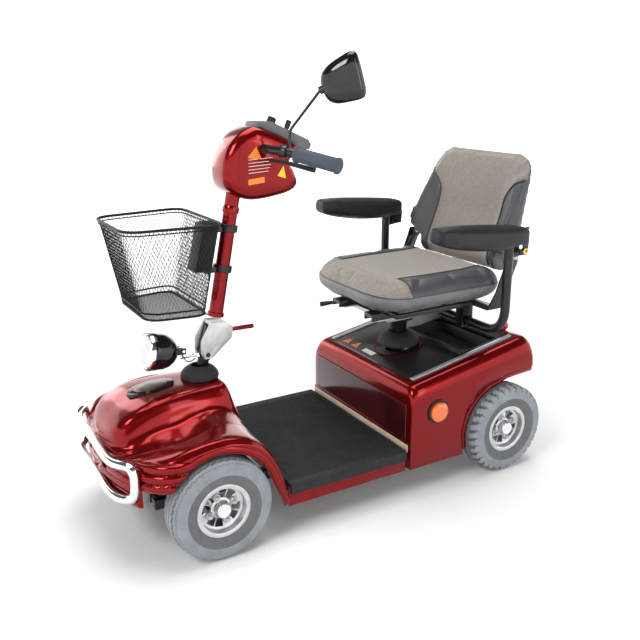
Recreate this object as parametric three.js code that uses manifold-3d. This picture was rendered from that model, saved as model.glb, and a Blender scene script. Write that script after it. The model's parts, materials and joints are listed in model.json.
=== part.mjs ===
// A four-wheel mobility scooter, in millimetres. +Z is up, the front faces -Y and the driver's left is +X.
// The origin lies on the ground, under the middle of the machine's bounding box.
import * as THREE from 'three';
import { mergeVertices } from 'three/addons/utils/BufferGeometryUtils.js';
import Module from 'manifold-3d';

const wasm = await Module();
wasm.setup();

// ---------- driving dimensions ----------
const WHEELBASE = 890;
const REAR_AXLE_Y = 499;
const FRONT_AXLE_Y = REAR_AXLE_Y - WHEELBASE;
const TYRE_RADIUS = 130;
const TYRE_HALF_WIDTH = 40;
const TYRE_FACETS = 32;
const AXLE_Z = TYRE_RADIUS * Math.cos(Math.PI / TYRE_FACETS); // a flat of the tread rests on the ground
const FRONT_WHEEL_X = 241;
const REAR_WHEEL_X = 248;
const RIM_LIP_RADIUS = 68;
const BEAD_RADIUS = 60;
const HALF_LENGTH = REAR_AXLE_Y + AXLE_Z;

const KINGPIN_X = 180;
const STEERING_ARM = 58;
const HORN_X = 60;
const TIE_ROD_Z = 166;

const BODY_HALF_WIDTH = 257;
const SHELL = 4;
const FRONT_ARCH_RADIUS = 141;
const REAR_ARCH_RADIUS = 150;
const SILL_Z = 74;
const DECK_TOP = 128;
const MAT_TOP = 138;
const DECK_HALF_WIDTH = 250;
const DECK_FRONT_Y = -206;
const DECK_REAR_Y = 158;
const BODY_FRONT_Y = 168;
const BODY_REAR_Y = 606;
const BODY_TAIL_Z = 296;
const TOP_FRONT_Y = 200;
const TOP_FRONT_Z = 318;
const TOP_SLOPE = Math.atan2(61, 333);
const FREEWHEEL_X = 162;

const SEAT_AXIS_Y = 305;
const PEDESTAL_TOP = 440;
const CUSHION_HALF_WIDTH = 225;
const CUSHION_FRONT_Y = 94;
const CUSHION_REAR_Y = 526;
const CUSHION_BOTTOM = 510;
const CUSHION_TOP = 592;
const BACK_HALF_WIDTH = 220;
const BACK_HINGE = [0, 528, 628];
const ARM_X = 286;
const ARM_POST_Y = 454;
const ARM_CROSSBAR_Z = 428;
const ARM_TUBE_RADIUS = 13;
const ARM_POST_TOP = 674;
const ARM_PIVOT_Y = 492;
const ARM_PIVOT_Z = 662;
const ARM_PAD_FRONT_Y = 200;
const ARM_PAD_REAR_Y = 502;
const ARM_PAD_FRONT_TOP = 743;
const ARM_PAD_REAR_TOP = 720;

const COLUMN_LEAN = THREE.MathUtils.degToRad(16);
const COLUMN_Z = 393;
const COLUMN_Y = -322;
const COLUMN_RADIUS = 15;
const COLUMN_TOP_Z = 500;
const TILT_PIVOT_Z = 430;
const TUBE_BOTTOM = [0, -277, 524];
const TUBE_TOP = [0, -220, 805];
const TUBE_RADIUS = 18.5;

const HEAD_HALF_WIDTH = 52;
const BAR_RADIUS = 11;
const BAR_CENTRE = [0, -152, 944];
const GRIP_START = [134, -123, 939];
const GRIP_END = [256, -60, 914];
const GRIP_RADIUS = 17;

const CLEAR = 0.4;

// ---------- materials ----------
function finish(color, roughness, metalness) {
  return new THREE.MeshStandardMaterial({ color, roughness, metalness });
}
const redPaint = finish(0x8c1018, 0.2, 0.4);
const blackPlastic = finish(0x141416, 0.45, 0);
const blackPaint = finish(0x101012, 0.35, 0.2);
const blackRubber = finish(0x1a1b1c, 0.8, 0);
const greyTyre = finish(0x969ba0, 0.85, 0);
const silver = finish(0xb9bcc0, 0.35, 0.8);
const chrome = finish(0xe2e5e8, 0.08, 1);
const zincSteel = finish(0x9a9c9e, 0.4, 0.9);
const greyPlastic = finish(0x5a626b, 0.5, 0);
const gripRubber = finish(0x4c545e, 0.7, 0);
const vinyl = finish(0x7d766c, 0.55, 0);
const padVinyl = finish(0x161718, 0.5, 0);
const amberLens = finish(0xf07a10, 0.15, 0);
const redLens = finish(0xc81010, 0.15, 0);
const clearLens = finish(0xe6ecf0, 0.05, 0);
const batteryCase = finish(0x2b2f38, 0.6, 0);
const aluminium = finish(0x8e9296, 0.45, 0.8);

// ---------- shape helpers ----------
const X_AXIS = new THREE.Vector3(1, 0, 0);
const Y_AXIS = new THREE.Vector3(0, 1, 0);
const point = (p) => new THREE.Vector3(...p);
const flipX = (p) => [-p[0], p[1], p[2]];

function solid(geometry) {
  const plain = geometry.clone();
  plain.deleteAttribute('normal');
  plain.deleteAttribute('uv');
  const merged = mergeVertices(plain, 1e-3);
  const vertProperties = new Float32Array(merged.attributes.position.array);
  const triVerts = new Uint32Array(merged.index.array);
  return new wasm.Manifold(new wasm.Mesh({ numProp: 3, vertProperties, triVerts }));
}

function geometryOf(manifold) {
  const { vertProperties, triVerts } = manifold.getMesh();
  const geometry = new THREE.BufferGeometry();
  geometry.setAttribute('position', new THREE.BufferAttribute(new Float32Array(vertProperties), 3));
  geometry.setIndex(new THREE.BufferAttribute(new Uint32Array(triVerts), 1));
  geometry.computeVertexNormals();
  return geometry;
}

const union = (pieces) => pieces.reduce((whole, piece) => whole.add(piece));
const cut = (body, tools) => tools.reduce((rest, tool) => rest.subtract(tool), body);

function block([x0, x1], [y0, y1], [z0, z1]) {
  const box = new THREE.BoxGeometry(x1 - x0, y1 - y0, z1 - z0);
  return solid(box.translate((x0 + x1) / 2, (y0 + y1) / 2, (z0 + z1) / 2));
}

// A cylinder, or a cone with a second radius, from point a to point b.
function rod(a, b, radius, facets = 16, endRadius = radius) {
  const from = point(a);
  const along = point(b).sub(from);
  const cylinder = new THREE.CylinderGeometry(endRadius, radius, along.length(), facets);
  cylinder.translate(0, along.length() / 2, 0);
  cylinder.applyQuaternion(new THREE.Quaternion().setFromUnitVectors(Y_AXIS, along.clone().normalize()));
  return solid(cylinder.translate(from.x, from.y, from.z));
}

// A solid of revolution round the X axis: profile is [x, radius] pairs, placed at a wheel or button centre.
function turned(profile, facets, centre, phase = 0) {
  const lathe = new THREE.LatheGeometry(profile.map(([x, r]) => new THREE.Vector2(r, x)), facets);
  lathe.rotateY(phase);
  lathe.rotateZ(-Math.PI / 2);
  return solid(lathe.translate(...centre));
}

// A solid of revolution round the Z axis, tilted back with a leaning part when lean is given.
function upright(profile, facets, centre, lean = 0) {
  const lathe = new THREE.LatheGeometry(profile.map(([r, z]) => new THREE.Vector2(r, z)), facets);
  lathe.rotateX(Math.PI / 2 - lean);
  return solid(lathe.translate(...centre));
}

// A side outline of [y, z] points, extruded across the machine from x0 to x1.
function sidePlate(outline, x0, x1, bevel = 0, bevelSegments = 2) {
  const shape = new THREE.Shape(outline.map(([y, z]) => new THREE.Vector2(y, z)));
  const plate = new THREE.ExtrudeGeometry(shape, {
    depth: x1 - x0 - 2 * bevel,
    bevelEnabled: bevel > 0,
    bevelThickness: bevel,
    bevelSize: bevel,
    bevelOffset: -bevel,
    bevelSegments,
  });
  plate.translate(0, 0, x0 + bevel);
  plate.applyMatrix4(new THREE.Matrix4().makeBasis(Y_AXIS, new THREE.Vector3(0, 0, 1), X_AXIS));
  return solid(plate);
}

// A round bar along a smooth curve, or along straight runs with rounded corners.
function bar(curve, radius, steps, sides = 10) {
  const section = new THREE.Shape();
  section.absarc(0, 0, radius, 0, 2 * Math.PI);
  const tube = new THREE.ExtrudeGeometry(section, {
    steps, extrudePath: curve, curveSegments: Math.ceil(sides / 2), bevelEnabled: false,
  });
  return solid(tube);
}

function roundedPath(points, radius) {
  const path = new THREE.CurvePath();
  const corners = points.map(point);
  let start = corners[0];
  for (let i = 1; i < corners.length - 1; i += 1) {
    const before = corners[i].clone().add(corners[i - 1].clone().sub(corners[i]).setLength(radius));
    const after = corners[i].clone().add(corners[i + 1].clone().sub(corners[i]).setLength(radius));
    path.add(new THREE.LineCurve3(start, before));
    path.add(new THREE.QuadraticBezierCurve3(before, corners[i], after));
    start = after;
  }
  path.add(new THREE.LineCurve3(start, corners[corners.length - 1]));
  return path;
}

// A closed skin through rings of points, all with the same number of points, with flat ends.
function loft(rings) {
  const count = rings[0].length;
  const positions = rings.flat(2);
  const index = [];
  for (let r = 0; r < rings.length - 1; r += 1) {
    for (let i = 0; i < count; i += 1) {
      const a = r * count + i;
      const b = r * count + (i + 1) % count;
      index.push(a, b, a + count, b, b + count, a + count);
    }
  }
  for (const [first, flip] of [[0, false], [(rings.length - 1) * count, true]]) {
    const ring = positions.slice(first * 3, (first + count) * 3);
    const mean = (k) => ring.filter((_, j) => j % 3 === k).reduce((sum, v) => sum + v, 0) / count;
    const centre = [mean(0), mean(1), mean(2)];
    const hub = positions.length / 3;
    positions.push(...centre);
    for (let i = 0; i < count; i += 1) {
      const a = first + i;
      const b = first + (i + 1) % count;
      index.push(...(flip ? [a, b, hub] : [b, a, hub]));
    }
  }
  const geometry = new THREE.BufferGeometry();
  geometry.setAttribute('position', new THREE.BufferAttribute(new Float32Array(positions), 3));
  geometry.setIndex(index);
  const made = solid(geometry);
  return made.volume() > 0 ? made : solid(geometry.clone().setIndex([...index].reverse()));
}

// A rounded four-cornered ring at height z: half-widths at its front and rear edges.
function basketRing(z, frontY, rearY, frontHalf, rearHalf, radius) {
  const corners = [[frontHalf, frontY], [rearHalf, rearY], [-rearHalf, rearY], [-frontHalf, frontY]];
  const ring = [];
  const steps = 4;
  for (let c = 0; c < 4; c += 1) {
    const here = new THREE.Vector2(...corners[c]);
    const last = new THREE.Vector2(...corners[(c + 3) % 4]).sub(here).setLength(radius).add(here);
    const next = new THREE.Vector2(...corners[(c + 1) % 4]).sub(here).setLength(radius).add(here);
    const curve = new THREE.QuadraticBezierCurve(last, here, next);
    curve.getPoints(steps).forEach((p) => ring.push([p.x, p.y, z]));
  }
  return ring;
}

const scooter = new THREE.Group();
scooter.name = 'mobility_scooter';
function addPart(name, manifold, material) {
  const mesh = new THREE.Mesh(geometryOf(manifold), material);
  mesh.name = name;
  scooter.add(mesh);
}

const columnAt = (z) => [0, COLUMN_Y + (z - COLUMN_Z) * Math.tan(COLUMN_LEAN), z];
const topPlateZ = (y) => TOP_FRONT_Z + (y - TOP_FRONT_Y) * Math.tan(TOP_SLOPE);
const between = (a, b, t) => a.map((v, i) => v + (b[i] - v) * t);
const SIDES = [['left', 1], ['right', -1]];
// The x range from a to b on one side of the machine, in rising order.
const span = (s, a, b) => (s > 0 ? [a, b] : [-b, -a]);

// ---------- front shroud ----------
// Stations from nose to rear: y, half-width, fender height, hood half-width, hood height.
const SHROUD_STATIONS = [
  [-598, 90, 236, 60, 285],
  [-588, 144, 246, 84, 308],
  [-566, 198, 260, 98, 330],
  [-536, 238, 270, 102, 348],
  [-500, 256, 282, 100, 360],
  [-461, 260, 294, 96, 366],
  [-415, 261, 301, 90, 369],
  [-360, 261, 302, 84, 369],
  [-310, 261, 290, 80, 367],
  [-284, 260, 273, 78, 363],
  [-266, 259, 256, 77, 312],
  [-250, 258, 237, 76, 264],
  [-228, 257, 194, 74, 204],
  [-212, 256, 142, 72, 150],
];

// One side of a cross-section, from the skirt's lower edge up over the fender to the middle of the hood.
function shroudSection([y, half, fender, hood, top], inset, bottom) {
  const crest = Math.max(fender - inset, bottom + 8);
  const roof = Math.max(top - inset, crest + 2);
  const right = [
    [half - inset, bottom],
    [half - inset, crest - 22],
    [half - inset - 6, crest - 8],
    [half - inset - 24, crest],
    [(half + hood) / 2, crest + 2],
    [hood + 20 - inset, crest + 0.2 * (roof - crest) + 3],
    [hood + 4 - inset, crest + 0.6 * (roof - crest)],
    [hood - 14 - inset, roof - 5],
    [hood * 0.4, roof],
  ].map(([x, z]) => [x, Math.max(z, bottom)]);
  const left = [...right].reverse().map(([x, z]) => [-x, z]);
  return [...right, ...left].map(([x, z]) => [x, y, z]);
}

function frontShroud() {
  const outer = loft(SHROUD_STATIONS.map((s) => shroudSection(s, 0, SILL_Z)));
  const inner = loft(SHROUD_STATIONS.filter((_, k) => k % 2 === 1).map((s, i, all) => {
    const y = s[0] + (i === 0 ? 1 : 0) - (i === all.length - 1 ? 3 : 0);
    return shroudSection([y, ...s.slice(1)], SHELL + (i === 0 ? 5 : 0), SILL_Z - 10);
  }));
  const arch = new THREE.Path();
  arch.absarc(FRONT_AXLE_Y, AXLE_Z, FRONT_ARCH_RADIUS, Math.PI * 0.1, Math.PI * 0.84);
  const archOutline = arch.getPoints(20).map((p) => [p.x, p.y]);
  archOutline.push([FRONT_AXLE_Y - 152, 206], [FRONT_AXLE_Y - 240, 198], [FRONT_AXLE_Y - 240, 40]);
  archOutline.push([FRONT_AXLE_Y + 176, 40], [FRONT_AXLE_Y + 172, 88], [FRONT_AXLE_Y + 150, 140]);
  const arches = SIDES.map(([, s]) => sidePlate(archOutline, ...span(s, 150, 310)));
  const noseUnderside = block([-200, 200], [-640, -546], [40, 152]);
  const deckGap = block([-235, 235], [-246, -180], [60, MAT_TOP + 4]);
  const bumperSlots = SIDES.map(([, s]) => block(
    span(s, HORN_X - 12, HORN_X + 12), [-640, -560], [202, 240],
  ));
  const bootHole = rod(columnAt(300), columnAt(430), 30, 20);
  return cut(outer, [inner, ...arches, noseUnderside, deckGap, ...bumperSlots, bootHole]);
}
addPart('front_shroud', frontShroud(), redPaint);

const BOOT_BASE_Z = 369.6;
const bootCentre = columnAt(BOOT_BASE_Z);
addPart('tiller_boot', cut(
  upright([[20, 0], [50, 0], [48, 12], [40, 22], [28, 30], [20, 32], [20, 0]], 18,
    bootCentre),
  [rod(columnAt(330), columnAt(460), COLUMN_RADIUS + 3, 16)],
), blackRubber);

// ---------- bumper ----------
const BUMPER_RADIUS = 11;
const BUMPER_BOW = 1.5; // the bar bows this far ahead of its corners
const bumperY = -HALF_LENGTH + BUMPER_RADIUS + BUMPER_BOW;
const bumperCorners = [
  [140, bumperY, 264], [200, bumperY + 30, 262], [208, bumperY + 36, 222], [196, bumperY + 28, 182],
  [136, bumperY, 176], [0, bumperY, 176], [-136, bumperY, 176], [-196, bumperY + 28, 182],
  [-208, bumperY + 36, 222], [-200, bumperY + 30, 262], [-140, bumperY, 264], [0, bumperY, 264],
];
const bumperLoop = new THREE.CatmullRomCurve3(bumperCorners.map(point), true, 'catmullrom', 0.35);
const bumperHalf = (from, to) => {
  const points = [];
  const steps = 15;
  for (let i = 0; i <= steps; i += 1) {
    points.push(bumperLoop.getPointAt((from + ((to - from) * i) / steps) % 1));
  }
  return bar(new THREE.CatmullRomCurve3(points), BUMPER_RADIUS, steps, 8);
};
addPart('bumper_bar', union([bumperHalf(0, 0.52), bumperHalf(0.5, 1.02)]), chrome);

// ---------- chassis frame ----------
const RAIL_X = 92;
const RAIL_Z = [80, 106];
function kingpinYoke(s) {
  const near = [FRONT_AXLE_Y - 13, FRONT_AXLE_Y + 13];
  return union([
    block(span(s, 150, 196), near, [96, 102]),
    block(span(s, 150, 196), near, [158, 163]),
    block(span(s, 150, 164), near, [100, 160]),
    rod([s * KINGPIN_X, FRONT_AXLE_Y, 98], [s * KINGPIN_X, FRONT_AXLE_Y, 161], 6, 12),
  ]);
}
function chassisFrame() {
  const rails = SIDES.map(([, s]) => block([s * RAIL_X - 12, s * RAIL_X + 12], [-505, 470], RAIL_Z));
  const crossbars = [[-230, -205], [60, 85], [196, 221], [405, 430]]
    .map(([y0, y1]) => block([-RAIL_X, RAIL_X], [y0, y1], RAIL_Z));
  const outriggers = [-170, 100].map((y) => block([-230, 230], [y - 10, y + 10], [84, 104]));
  const axleBeam = block([-160, 160], [FRONT_AXLE_Y - 12, FRONT_AXLE_Y + 12], [100, 126]);
  const headTube = rod(columnAt(206), columnAt(318), 24, 16);
  const neckPlates = SIDES.map(([, s]) => sidePlate(
    [[-500, 104], [-470, 104], [-355, 240], [-330, 310], [-372, 310], [-392, 240]],
    ...span(s, 16, 22),
  ));
  const neckFeet = block([-RAIL_X, RAIL_X], [-500, -470], [92, 110]);
  const columnBore = rod(columnAt(190), columnAt(330), COLUMN_RADIUS + 1, 20);
  const bumperHorns = SIDES.map(([, s]) => union([
    block([s * HORN_X - 9, s * HORN_X + 9], [-506, -490], [84, 172]),
    block([s * HORN_X - 9, s * HORN_X + 9], [-580, -490], [156, 172]),
    block([s * HORN_X - 9, s * HORN_X + 9], [-580, -566], [156, 236]),
    block([s * HORN_X - 9, s * HORN_X + 9], [bumperY + 11.5, -566], [206, 236]),
  ]));
  const pedestalSocket = rod([0, SEAT_AXIS_Y, 82], [0, SEAT_AXIS_Y, 262], 34, 16);
  const socketFoot = block([-RAIL_X, RAIL_X], [SEAT_AXIS_Y - 20, SEAT_AXIS_Y + 20], [82, 104]);
  const pedestalBore = rod([0, SEAT_AXIS_Y, 120], [0, SEAT_AXIS_Y, 280], 26.5, 20);
  const antiTipArms = SIDES.map(([, s]) => union([
    block([s * RAIL_X - 12, s * RAIL_X + 12], [460, 566], [84, 100]),
    block([s * RAIL_X - 12, s * RAIL_X + 12], [550, 566], [44, 92]),
    rod([s * RAIL_X + s * 10, 558, 52], [s * RAIL_X + s * 34, 558, 52], 5, 12),
  ]));
  const frame = union([
    ...rails, ...crossbars, ...outriggers, axleBeam, headTube, ...neckPlates, neckFeet,
    ...bumperHorns, pedestalSocket, socketFoot, ...antiTipArms, kingpinYoke(1), kingpinYoke(-1),
  ]);
  return cut(frame, [columnBore, pedestalBore]);
}
addPart('chassis_frame', chassisFrame(), blackPaint);

// ---------- deck ----------
const deckShell = block([-DECK_HALF_WIDTH, DECK_HALF_WIDTH], [DECK_FRONT_Y, DECK_REAR_Y], [SILL_Z, DECK_TOP]);
const deckHollow = block([-DECK_HALF_WIDTH + 5, DECK_HALF_WIDTH - 5], [DECK_FRONT_Y - 5, DECK_REAR_Y + 5],
  [SILL_Z - 5, DECK_TOP - 4]);
addPart('deck_pan', deckShell.subtract(deckHollow), redPaint);

const MAT_EDGE = 9;
const matSheet = block([-DECK_HALF_WIDTH - 1, DECK_HALF_WIDTH + 1], [DECK_FRONT_Y + 4, DECK_REAR_Y - 4],
  [DECK_TOP + CLEAR, MAT_TOP]);
const matRibs = [];
for (let x = -222; x <= 222; x += 37) {
  matRibs.push(block([x - 12, x + 12], [DECK_FRONT_Y + 14, DECK_REAR_Y - 14], [MAT_TOP - 1, MAT_TOP + 1.5]));
}
const matEdges = SIDES.map(([, s]) => block(
  span(s, DECK_HALF_WIDTH + CLEAR, DECK_HALF_WIDTH + MAT_EDGE),
  [DECK_FRONT_Y + 4, DECK_REAR_Y - 4], [DECK_TOP - 18, MAT_TOP],
));
addPart('floor_mat', union([matSheet, ...matRibs, ...matEdges]), blackRubber);

// ---------- rear body ----------
// A cross-section at y: straight sides, a rounded shoulder and a flat top that climbs to the rear.
function bodySection(y, inset, bottom) {
  const half = BODY_HALF_WIDTH - inset;
  const top = topPlateZ(y) - inset;
  const shoulder = 34;
  const right = [
    [half, bottom], [half, top - 52], [half - 3, top - 24], [half - 14, top - 8], [half - shoulder, top],
  ];
  const left = [...right].reverse().map(([x, z]) => [-x, z]);
  return [...right, ...left].map(([x, z]) => [x, y, z]);
}

// The lid edge falls away in a rounded brow at the front and the rear.
function rearBody() {
  const lip = (y, drop) => bodySection(y, 0, SILL_Z).map(([x, yy, z]) => [x, yy, z > 150 ? z - drop : z]);
  const stations = [
    lip(BODY_FRONT_Y, 30), lip(BODY_FRONT_Y + 8, 10), bodySection(BODY_FRONT_Y + 24, 0, SILL_Z),
    bodySection(400, 0, SILL_Z), bodySection(BODY_REAR_Y - 40, 0, SILL_Z),
    lip(BODY_REAR_Y - 14, 14), lip(BODY_REAR_Y, 46),
  ];
  const outer = loft(stations);
  const inner = loft([
    bodySection(BODY_FRONT_Y + SHELL + 1, SHELL + 12, SILL_Z - 10),
    bodySection(BODY_FRONT_Y + 30, SHELL + 4, SILL_Z - 10),
    bodySection(BODY_REAR_Y - 44, SHELL + 4, SILL_Z - 10),
    bodySection(BODY_REAR_Y - SHELL - 2, SHELL + 40, SILL_Z - 10),
  ]);
  const arch = new THREE.Path();
  arch.absarc(REAR_AXLE_Y, AXLE_Z, REAR_ARCH_RADIUS, Math.PI * 1.08, Math.PI * 0.56, true);
  const outline = arch.getPoints(14).map((p) => [p.x, p.y]);
  outline.push([REAR_AXLE_Y + 10, BODY_TAIL_Z - 6], [BODY_REAR_Y + 20, BODY_TAIL_Z], [BODY_REAR_Y + 20, 40]);
  outline.push([REAR_AXLE_Y - REAR_ARCH_RADIUS + 4, 40]);
  const arches = SIDES.map(([, s]) => sidePlate(outline, ...span(s, 176, 300)));
  const rearOpening = block([-180, 180], [REAR_AXLE_Y + 40, BODY_REAR_Y + 20], [40, BODY_TAIL_Z]);
  const lidCorners = [TOP_FRONT_Y, BODY_REAR_Y - 46];
  const lidOpening = sidePlate([
    [lidCorners[0], topPlateZ(lidCorners[0]) - 9], [lidCorners[1], topPlateZ(lidCorners[1]) - 9],
    [lidCorners[1], topPlateZ(lidCorners[1]) + 40], [lidCorners[0], topPlateZ(lidCorners[0]) + 40],
  ], -214, 214);
  const lidHole = block([-200, 200], [TOP_FRONT_Y + 14, BODY_REAR_Y - 60], [300, 420]);
  const railNotch = block(
    [-RAIL_X - 16, RAIL_X + 16], [BODY_FRONT_Y - 5, BODY_FRONT_Y + 20], [60, RAIL_Z[1] + 6],
  );
  const leverSlot = block([FREEWHEEL_X - 8, FREEWHEEL_X + 8], [558, 598], [336, 430]);
  return cut(outer, [inner, ...arches, rearOpening, lidOpening, lidHole, railNotch, leverSlot]);
}
addPart('rear_body', rearBody(), redPaint);

function topPlate() {
  const y0 = TOP_FRONT_Y + 0.6;
  const y1 = BODY_REAR_Y - 46.6;
  const lid = sidePlate([
    [y0, topPlateZ(y0) - 8.5], [y1, topPlateZ(y1) - 8.5], [y1, topPlateZ(y1)], [y0, topPlateZ(y0)],
  ], -213, 213);
  const trayY = [384, 528];
  const tray = block([-70, 190], trayY, [328, 362]);
  const trayHollow = block([-66, 186], [trayY[0] + 4, trayY[1] - 4], [332, 400]);
  const pillarHole = rod([0, SEAT_AXIS_Y, 300], [0, SEAT_AXIS_Y, 380], 40, 20);
  return cut(lid.add(tray), [trayHollow, pillarHole]);
}
addPart('top_plate', topPlate(), blackPlastic);

for (const [side, s] of SIDES) {
  const face = s * (BODY_HALF_WIDTH + CLEAR);
  const domeProfile = [[0, 0], [0, 28], [s * 10, 28], [s * 14, 22], [s * 15, 0]];
  const amber = s > 0 ? domeProfile : [...domeProfile].reverse();
  addPart(`reflector_${side}`, turned(amber, 20, [face, 258, 231]), amberLens);
  const lamp = new THREE.CylinderGeometry(17, 20, 12, 16);
  addPart(`tail_light_${side}`, solid(lamp.translate(s * 206, BODY_REAR_Y + 6.5, 322)), redLens);
}

// ---------- power pack, inside the rear body ----------
for (const [side, s] of SIDES) {
  const x = s > 0 ? [38, 168] : [-168, -38];
  const posts = [x[0] + 20, x[1] - 20].map((px) => rod([px, 250, 258], [px, 250, 274], 8, 10));
  addPart(`battery_${side}`, union([block(x, [222, 322], [106.5, 260]), ...posts]), batteryCase);
}
const fins = [];
for (let y = 362; y < 420; y += 12) fins.push(block([-150, -50], [y, y + 4], [145, 162]));
addPart('controller', union([block([-152, -48], [358, 424], [106.5, 147]), ...fins]), aluminium);

const AXLE_RADIUS = 10;
function transaxle() {
  const housing = rod([-60, REAR_AXLE_Y, AXLE_Z], [60, REAR_AXLE_Y, AXLE_Z], 52, 16);
  const sleeves = rod([-150, REAR_AXLE_Y, AXLE_Z], [150, REAR_AXLE_Y, AXLE_Z], 20, 12);
  const motor = rod([-6, REAR_AXLE_Y - 30, AXLE_Z + 24], [-6, REAR_AXLE_Y - 126, AXLE_Z + 30], 38, 16);
  const brake = rod([-6, REAR_AXLE_Y - 125, AXLE_Z + 30], [-6, REAR_AXLE_Y - 148, AXLE_Z + 31], 28, 12);
  const mounts = SIDES.map(([, s]) => block(
    span(s, RAIL_X - 11, RAIL_X + 11), [REAR_AXLE_Y - 62, REAR_AXLE_Y - 34], [RAIL_Z[1] + CLEAR, AXLE_Z + 12],
  ));
  const links = SIDES.map(([, s]) => block(
    span(s, RAIL_X - 11, RAIL_X + 11), [REAR_AXLE_Y - 40, REAR_AXLE_Y], [AXLE_Z - 8, AXLE_Z + 12],
  ));
  const bore = rod([-170, REAR_AXLE_Y, AXLE_Z], [170, REAR_AXLE_Y, AXLE_Z], AXLE_RADIUS + 1, 14);
  return cut(union([housing, sleeves, motor, brake, ...mounts, ...links]), [bore]);
}
addPart('transaxle', transaxle(), aluminium);

// Freewheel lever: a short shaft under the tail, with a stem through the slot and a red ball on top.
const FREEWHEEL_PIVOT = [FREEWHEEL_X, 580, 332];
const [leverX, leverY, leverZ] = FREEWHEEL_PIVOT;
addPart('freewheel_lever', union([
  rod([leverX - 22, leverY, leverZ], [leverX + 10, leverY, leverZ], 5, 10),
  rod(FREEWHEEL_PIVOT, [leverX, leverY - 3, leverZ + 62], 4, 8),
  solid(new THREE.SphereGeometry(12, 12, 8).translate(leverX, leverY - 3, leverZ + 67)),
]), redLens);

// ---------- seat pillar ----------
addPart('pedestal', union([
  rod([0, SEAT_AXIS_Y, 122], [0, SEAT_AXIS_Y, PEDESTAL_TOP - 12], 25, 16),
  rod([0, SEAT_AXIS_Y, PEDESTAL_TOP - 12], [0, SEAT_AXIS_Y, PEDESTAL_TOP], 48, 20),
]), zincSteel);
addPart('pedestal_boot', upright(
  [[26.5, 0], [62, 0], [61, 10], [52, 24], [38, 33], [30, 36], [26.5, 36], [26.5, 0]], 20,
  [0, SEAT_AXIS_Y, topPlateZ(SEAT_AXIS_Y + 62) + 1],
), blackRubber);

// ---------- wheels ----------
const facetPhase = Math.PI / TYRE_FACETS;
function tyre(centre) {
  const w = TYRE_HALF_WIDTH;
  const r = TYRE_RADIUS;
  const section = [
    [-w + 16, BEAD_RADIUS + 2], [-w, 94], [-w + 5, 119], [-w + 22, r], [w - 22, r], [w - 5, 119], [w, 94],
    [w - 16, BEAD_RADIUS + 2], [-w + 16, BEAD_RADIUS + 2],
  ];
  return turned(section, TYRE_FACETS, centre, facetPhase);
}

// Cast rim: a barrel with two flanges, a web with four windows, four nut bosses and a hub with its cap.
function rim([cx, cy, cz], s, hubBore, axle) {
  const lip = TYRE_HALF_WIDTH - 8.4;
  const barrel = turned([
    [-lip, 52], [lip, 56], [lip, RIM_LIP_RADIUS], [lip - 3.4, RIM_LIP_RADIUS],
    [lip - 3.4, BEAD_RADIUS + 1.4], [3.4 - lip, BEAD_RADIUS + 1.4], [3.4 - lip, RIM_LIP_RADIUS],
    [-lip, RIM_LIP_RADIUS], [-lip, 52],
  ].reverse(), 16, [cx, cy, cz]);
  const web = rod([cx + s * 6, cy, cz], [cx + s * 14, cy, cz], 54.5, 16);
  const hub = rod([cx - s * 26, cy, cz], [cx + s * 28, cy, cz], 20, 12);
  const pieces = [barrel, web, hub];
  const windows = [];
  for (let k = 0; k < 4; k += 1) {
    const nut = (k * Math.PI) / 2 + 0.35;
    const gap = nut + Math.PI / 4;
    const away = (angle, radius, dx) => [
      cx + s * dx, cy + radius * Math.cos(angle), cz + radius * Math.sin(angle),
    ];
    pieces.push(rod(away(nut, 34, 10), away(nut, 34, 22), 8, 6));
    windows.push(rod(away(gap, 37, 0), away(gap, 37, 20), 12, 6));
  }
  const whole = cut(union(pieces), windows);
  if (!axle) return cut(whole, [rod([cx - s * 40, cy, cz], [cx + s * 22, cy, cz], hubBore, 14)]);
  return union([whole, rod([cx - s * 130, cy, cz], [cx + s * 10, cy, cz], AXLE_RADIUS, 14)]);
}

const wheels = [
  ['front_left', 1, FRONT_WHEEL_X, FRONT_AXLE_Y, false],
  ['front_right', -1, -FRONT_WHEEL_X, FRONT_AXLE_Y, false],
  ['rear_left', 1, REAR_WHEEL_X, REAR_AXLE_Y, true],
  ['rear_right', -1, -REAR_WHEEL_X, REAR_AXLE_Y, true],
];
const STUB_RADIUS = 8;
for (const [place, s, x, y, driven] of wheels) {
  addPart(`tyre_${place}`, tyre([x, y, AXLE_Z]), greyTyre);
  addPart(`rim_${place}`, rim([x, y, AXLE_Z], s, STUB_RADIUS + 0.8, driven), silver);
}
for (const [side, s] of SIDES) {
  const x = s * (RAIL_X + 24);
  const section = [[-8, 6], [8, 6], [8, 30], [5, 34], [-5, 34], [-8, 30], [-8, 6]].reverse();
  addPart(`anti_tip_wheel_${side}`, turned(section, 20, [x, 558, 52]), blackRubber);
}

// ---------- steering ----------
const tieY = FRONT_AXLE_Y + STEERING_ARM;
for (const [side, s] of SIDES) {
  const x = s * KINGPIN_X;
  const barrel = rod([x, FRONT_AXLE_Y, 103], [x, FRONT_AXLE_Y, 157], 12, 16);
  const stubEnd = [s * (FRONT_WHEEL_X + 20), FRONT_AXLE_Y, AXLE_Z];
  const stub = rod([x, FRONT_AXLE_Y, AXLE_Z], stubEnd, STUB_RADIUS, 20);
  const arm = block([x - 7, x + 7], [FRONT_AXLE_Y + 6, tieY + 8], [144, 152]);
  const pin = rod([x, tieY, 150], [x, tieY, TIE_ROD_Z + 8], 4, 10);
  const bore = rod([x, FRONT_AXLE_Y, 90], [x, FRONT_AXLE_Y, 170], 7, 16);
  addPart(`knuckle_${side}`, cut(union([barrel, stub, arm, pin]), [bore]), zincSteel);
}

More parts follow.
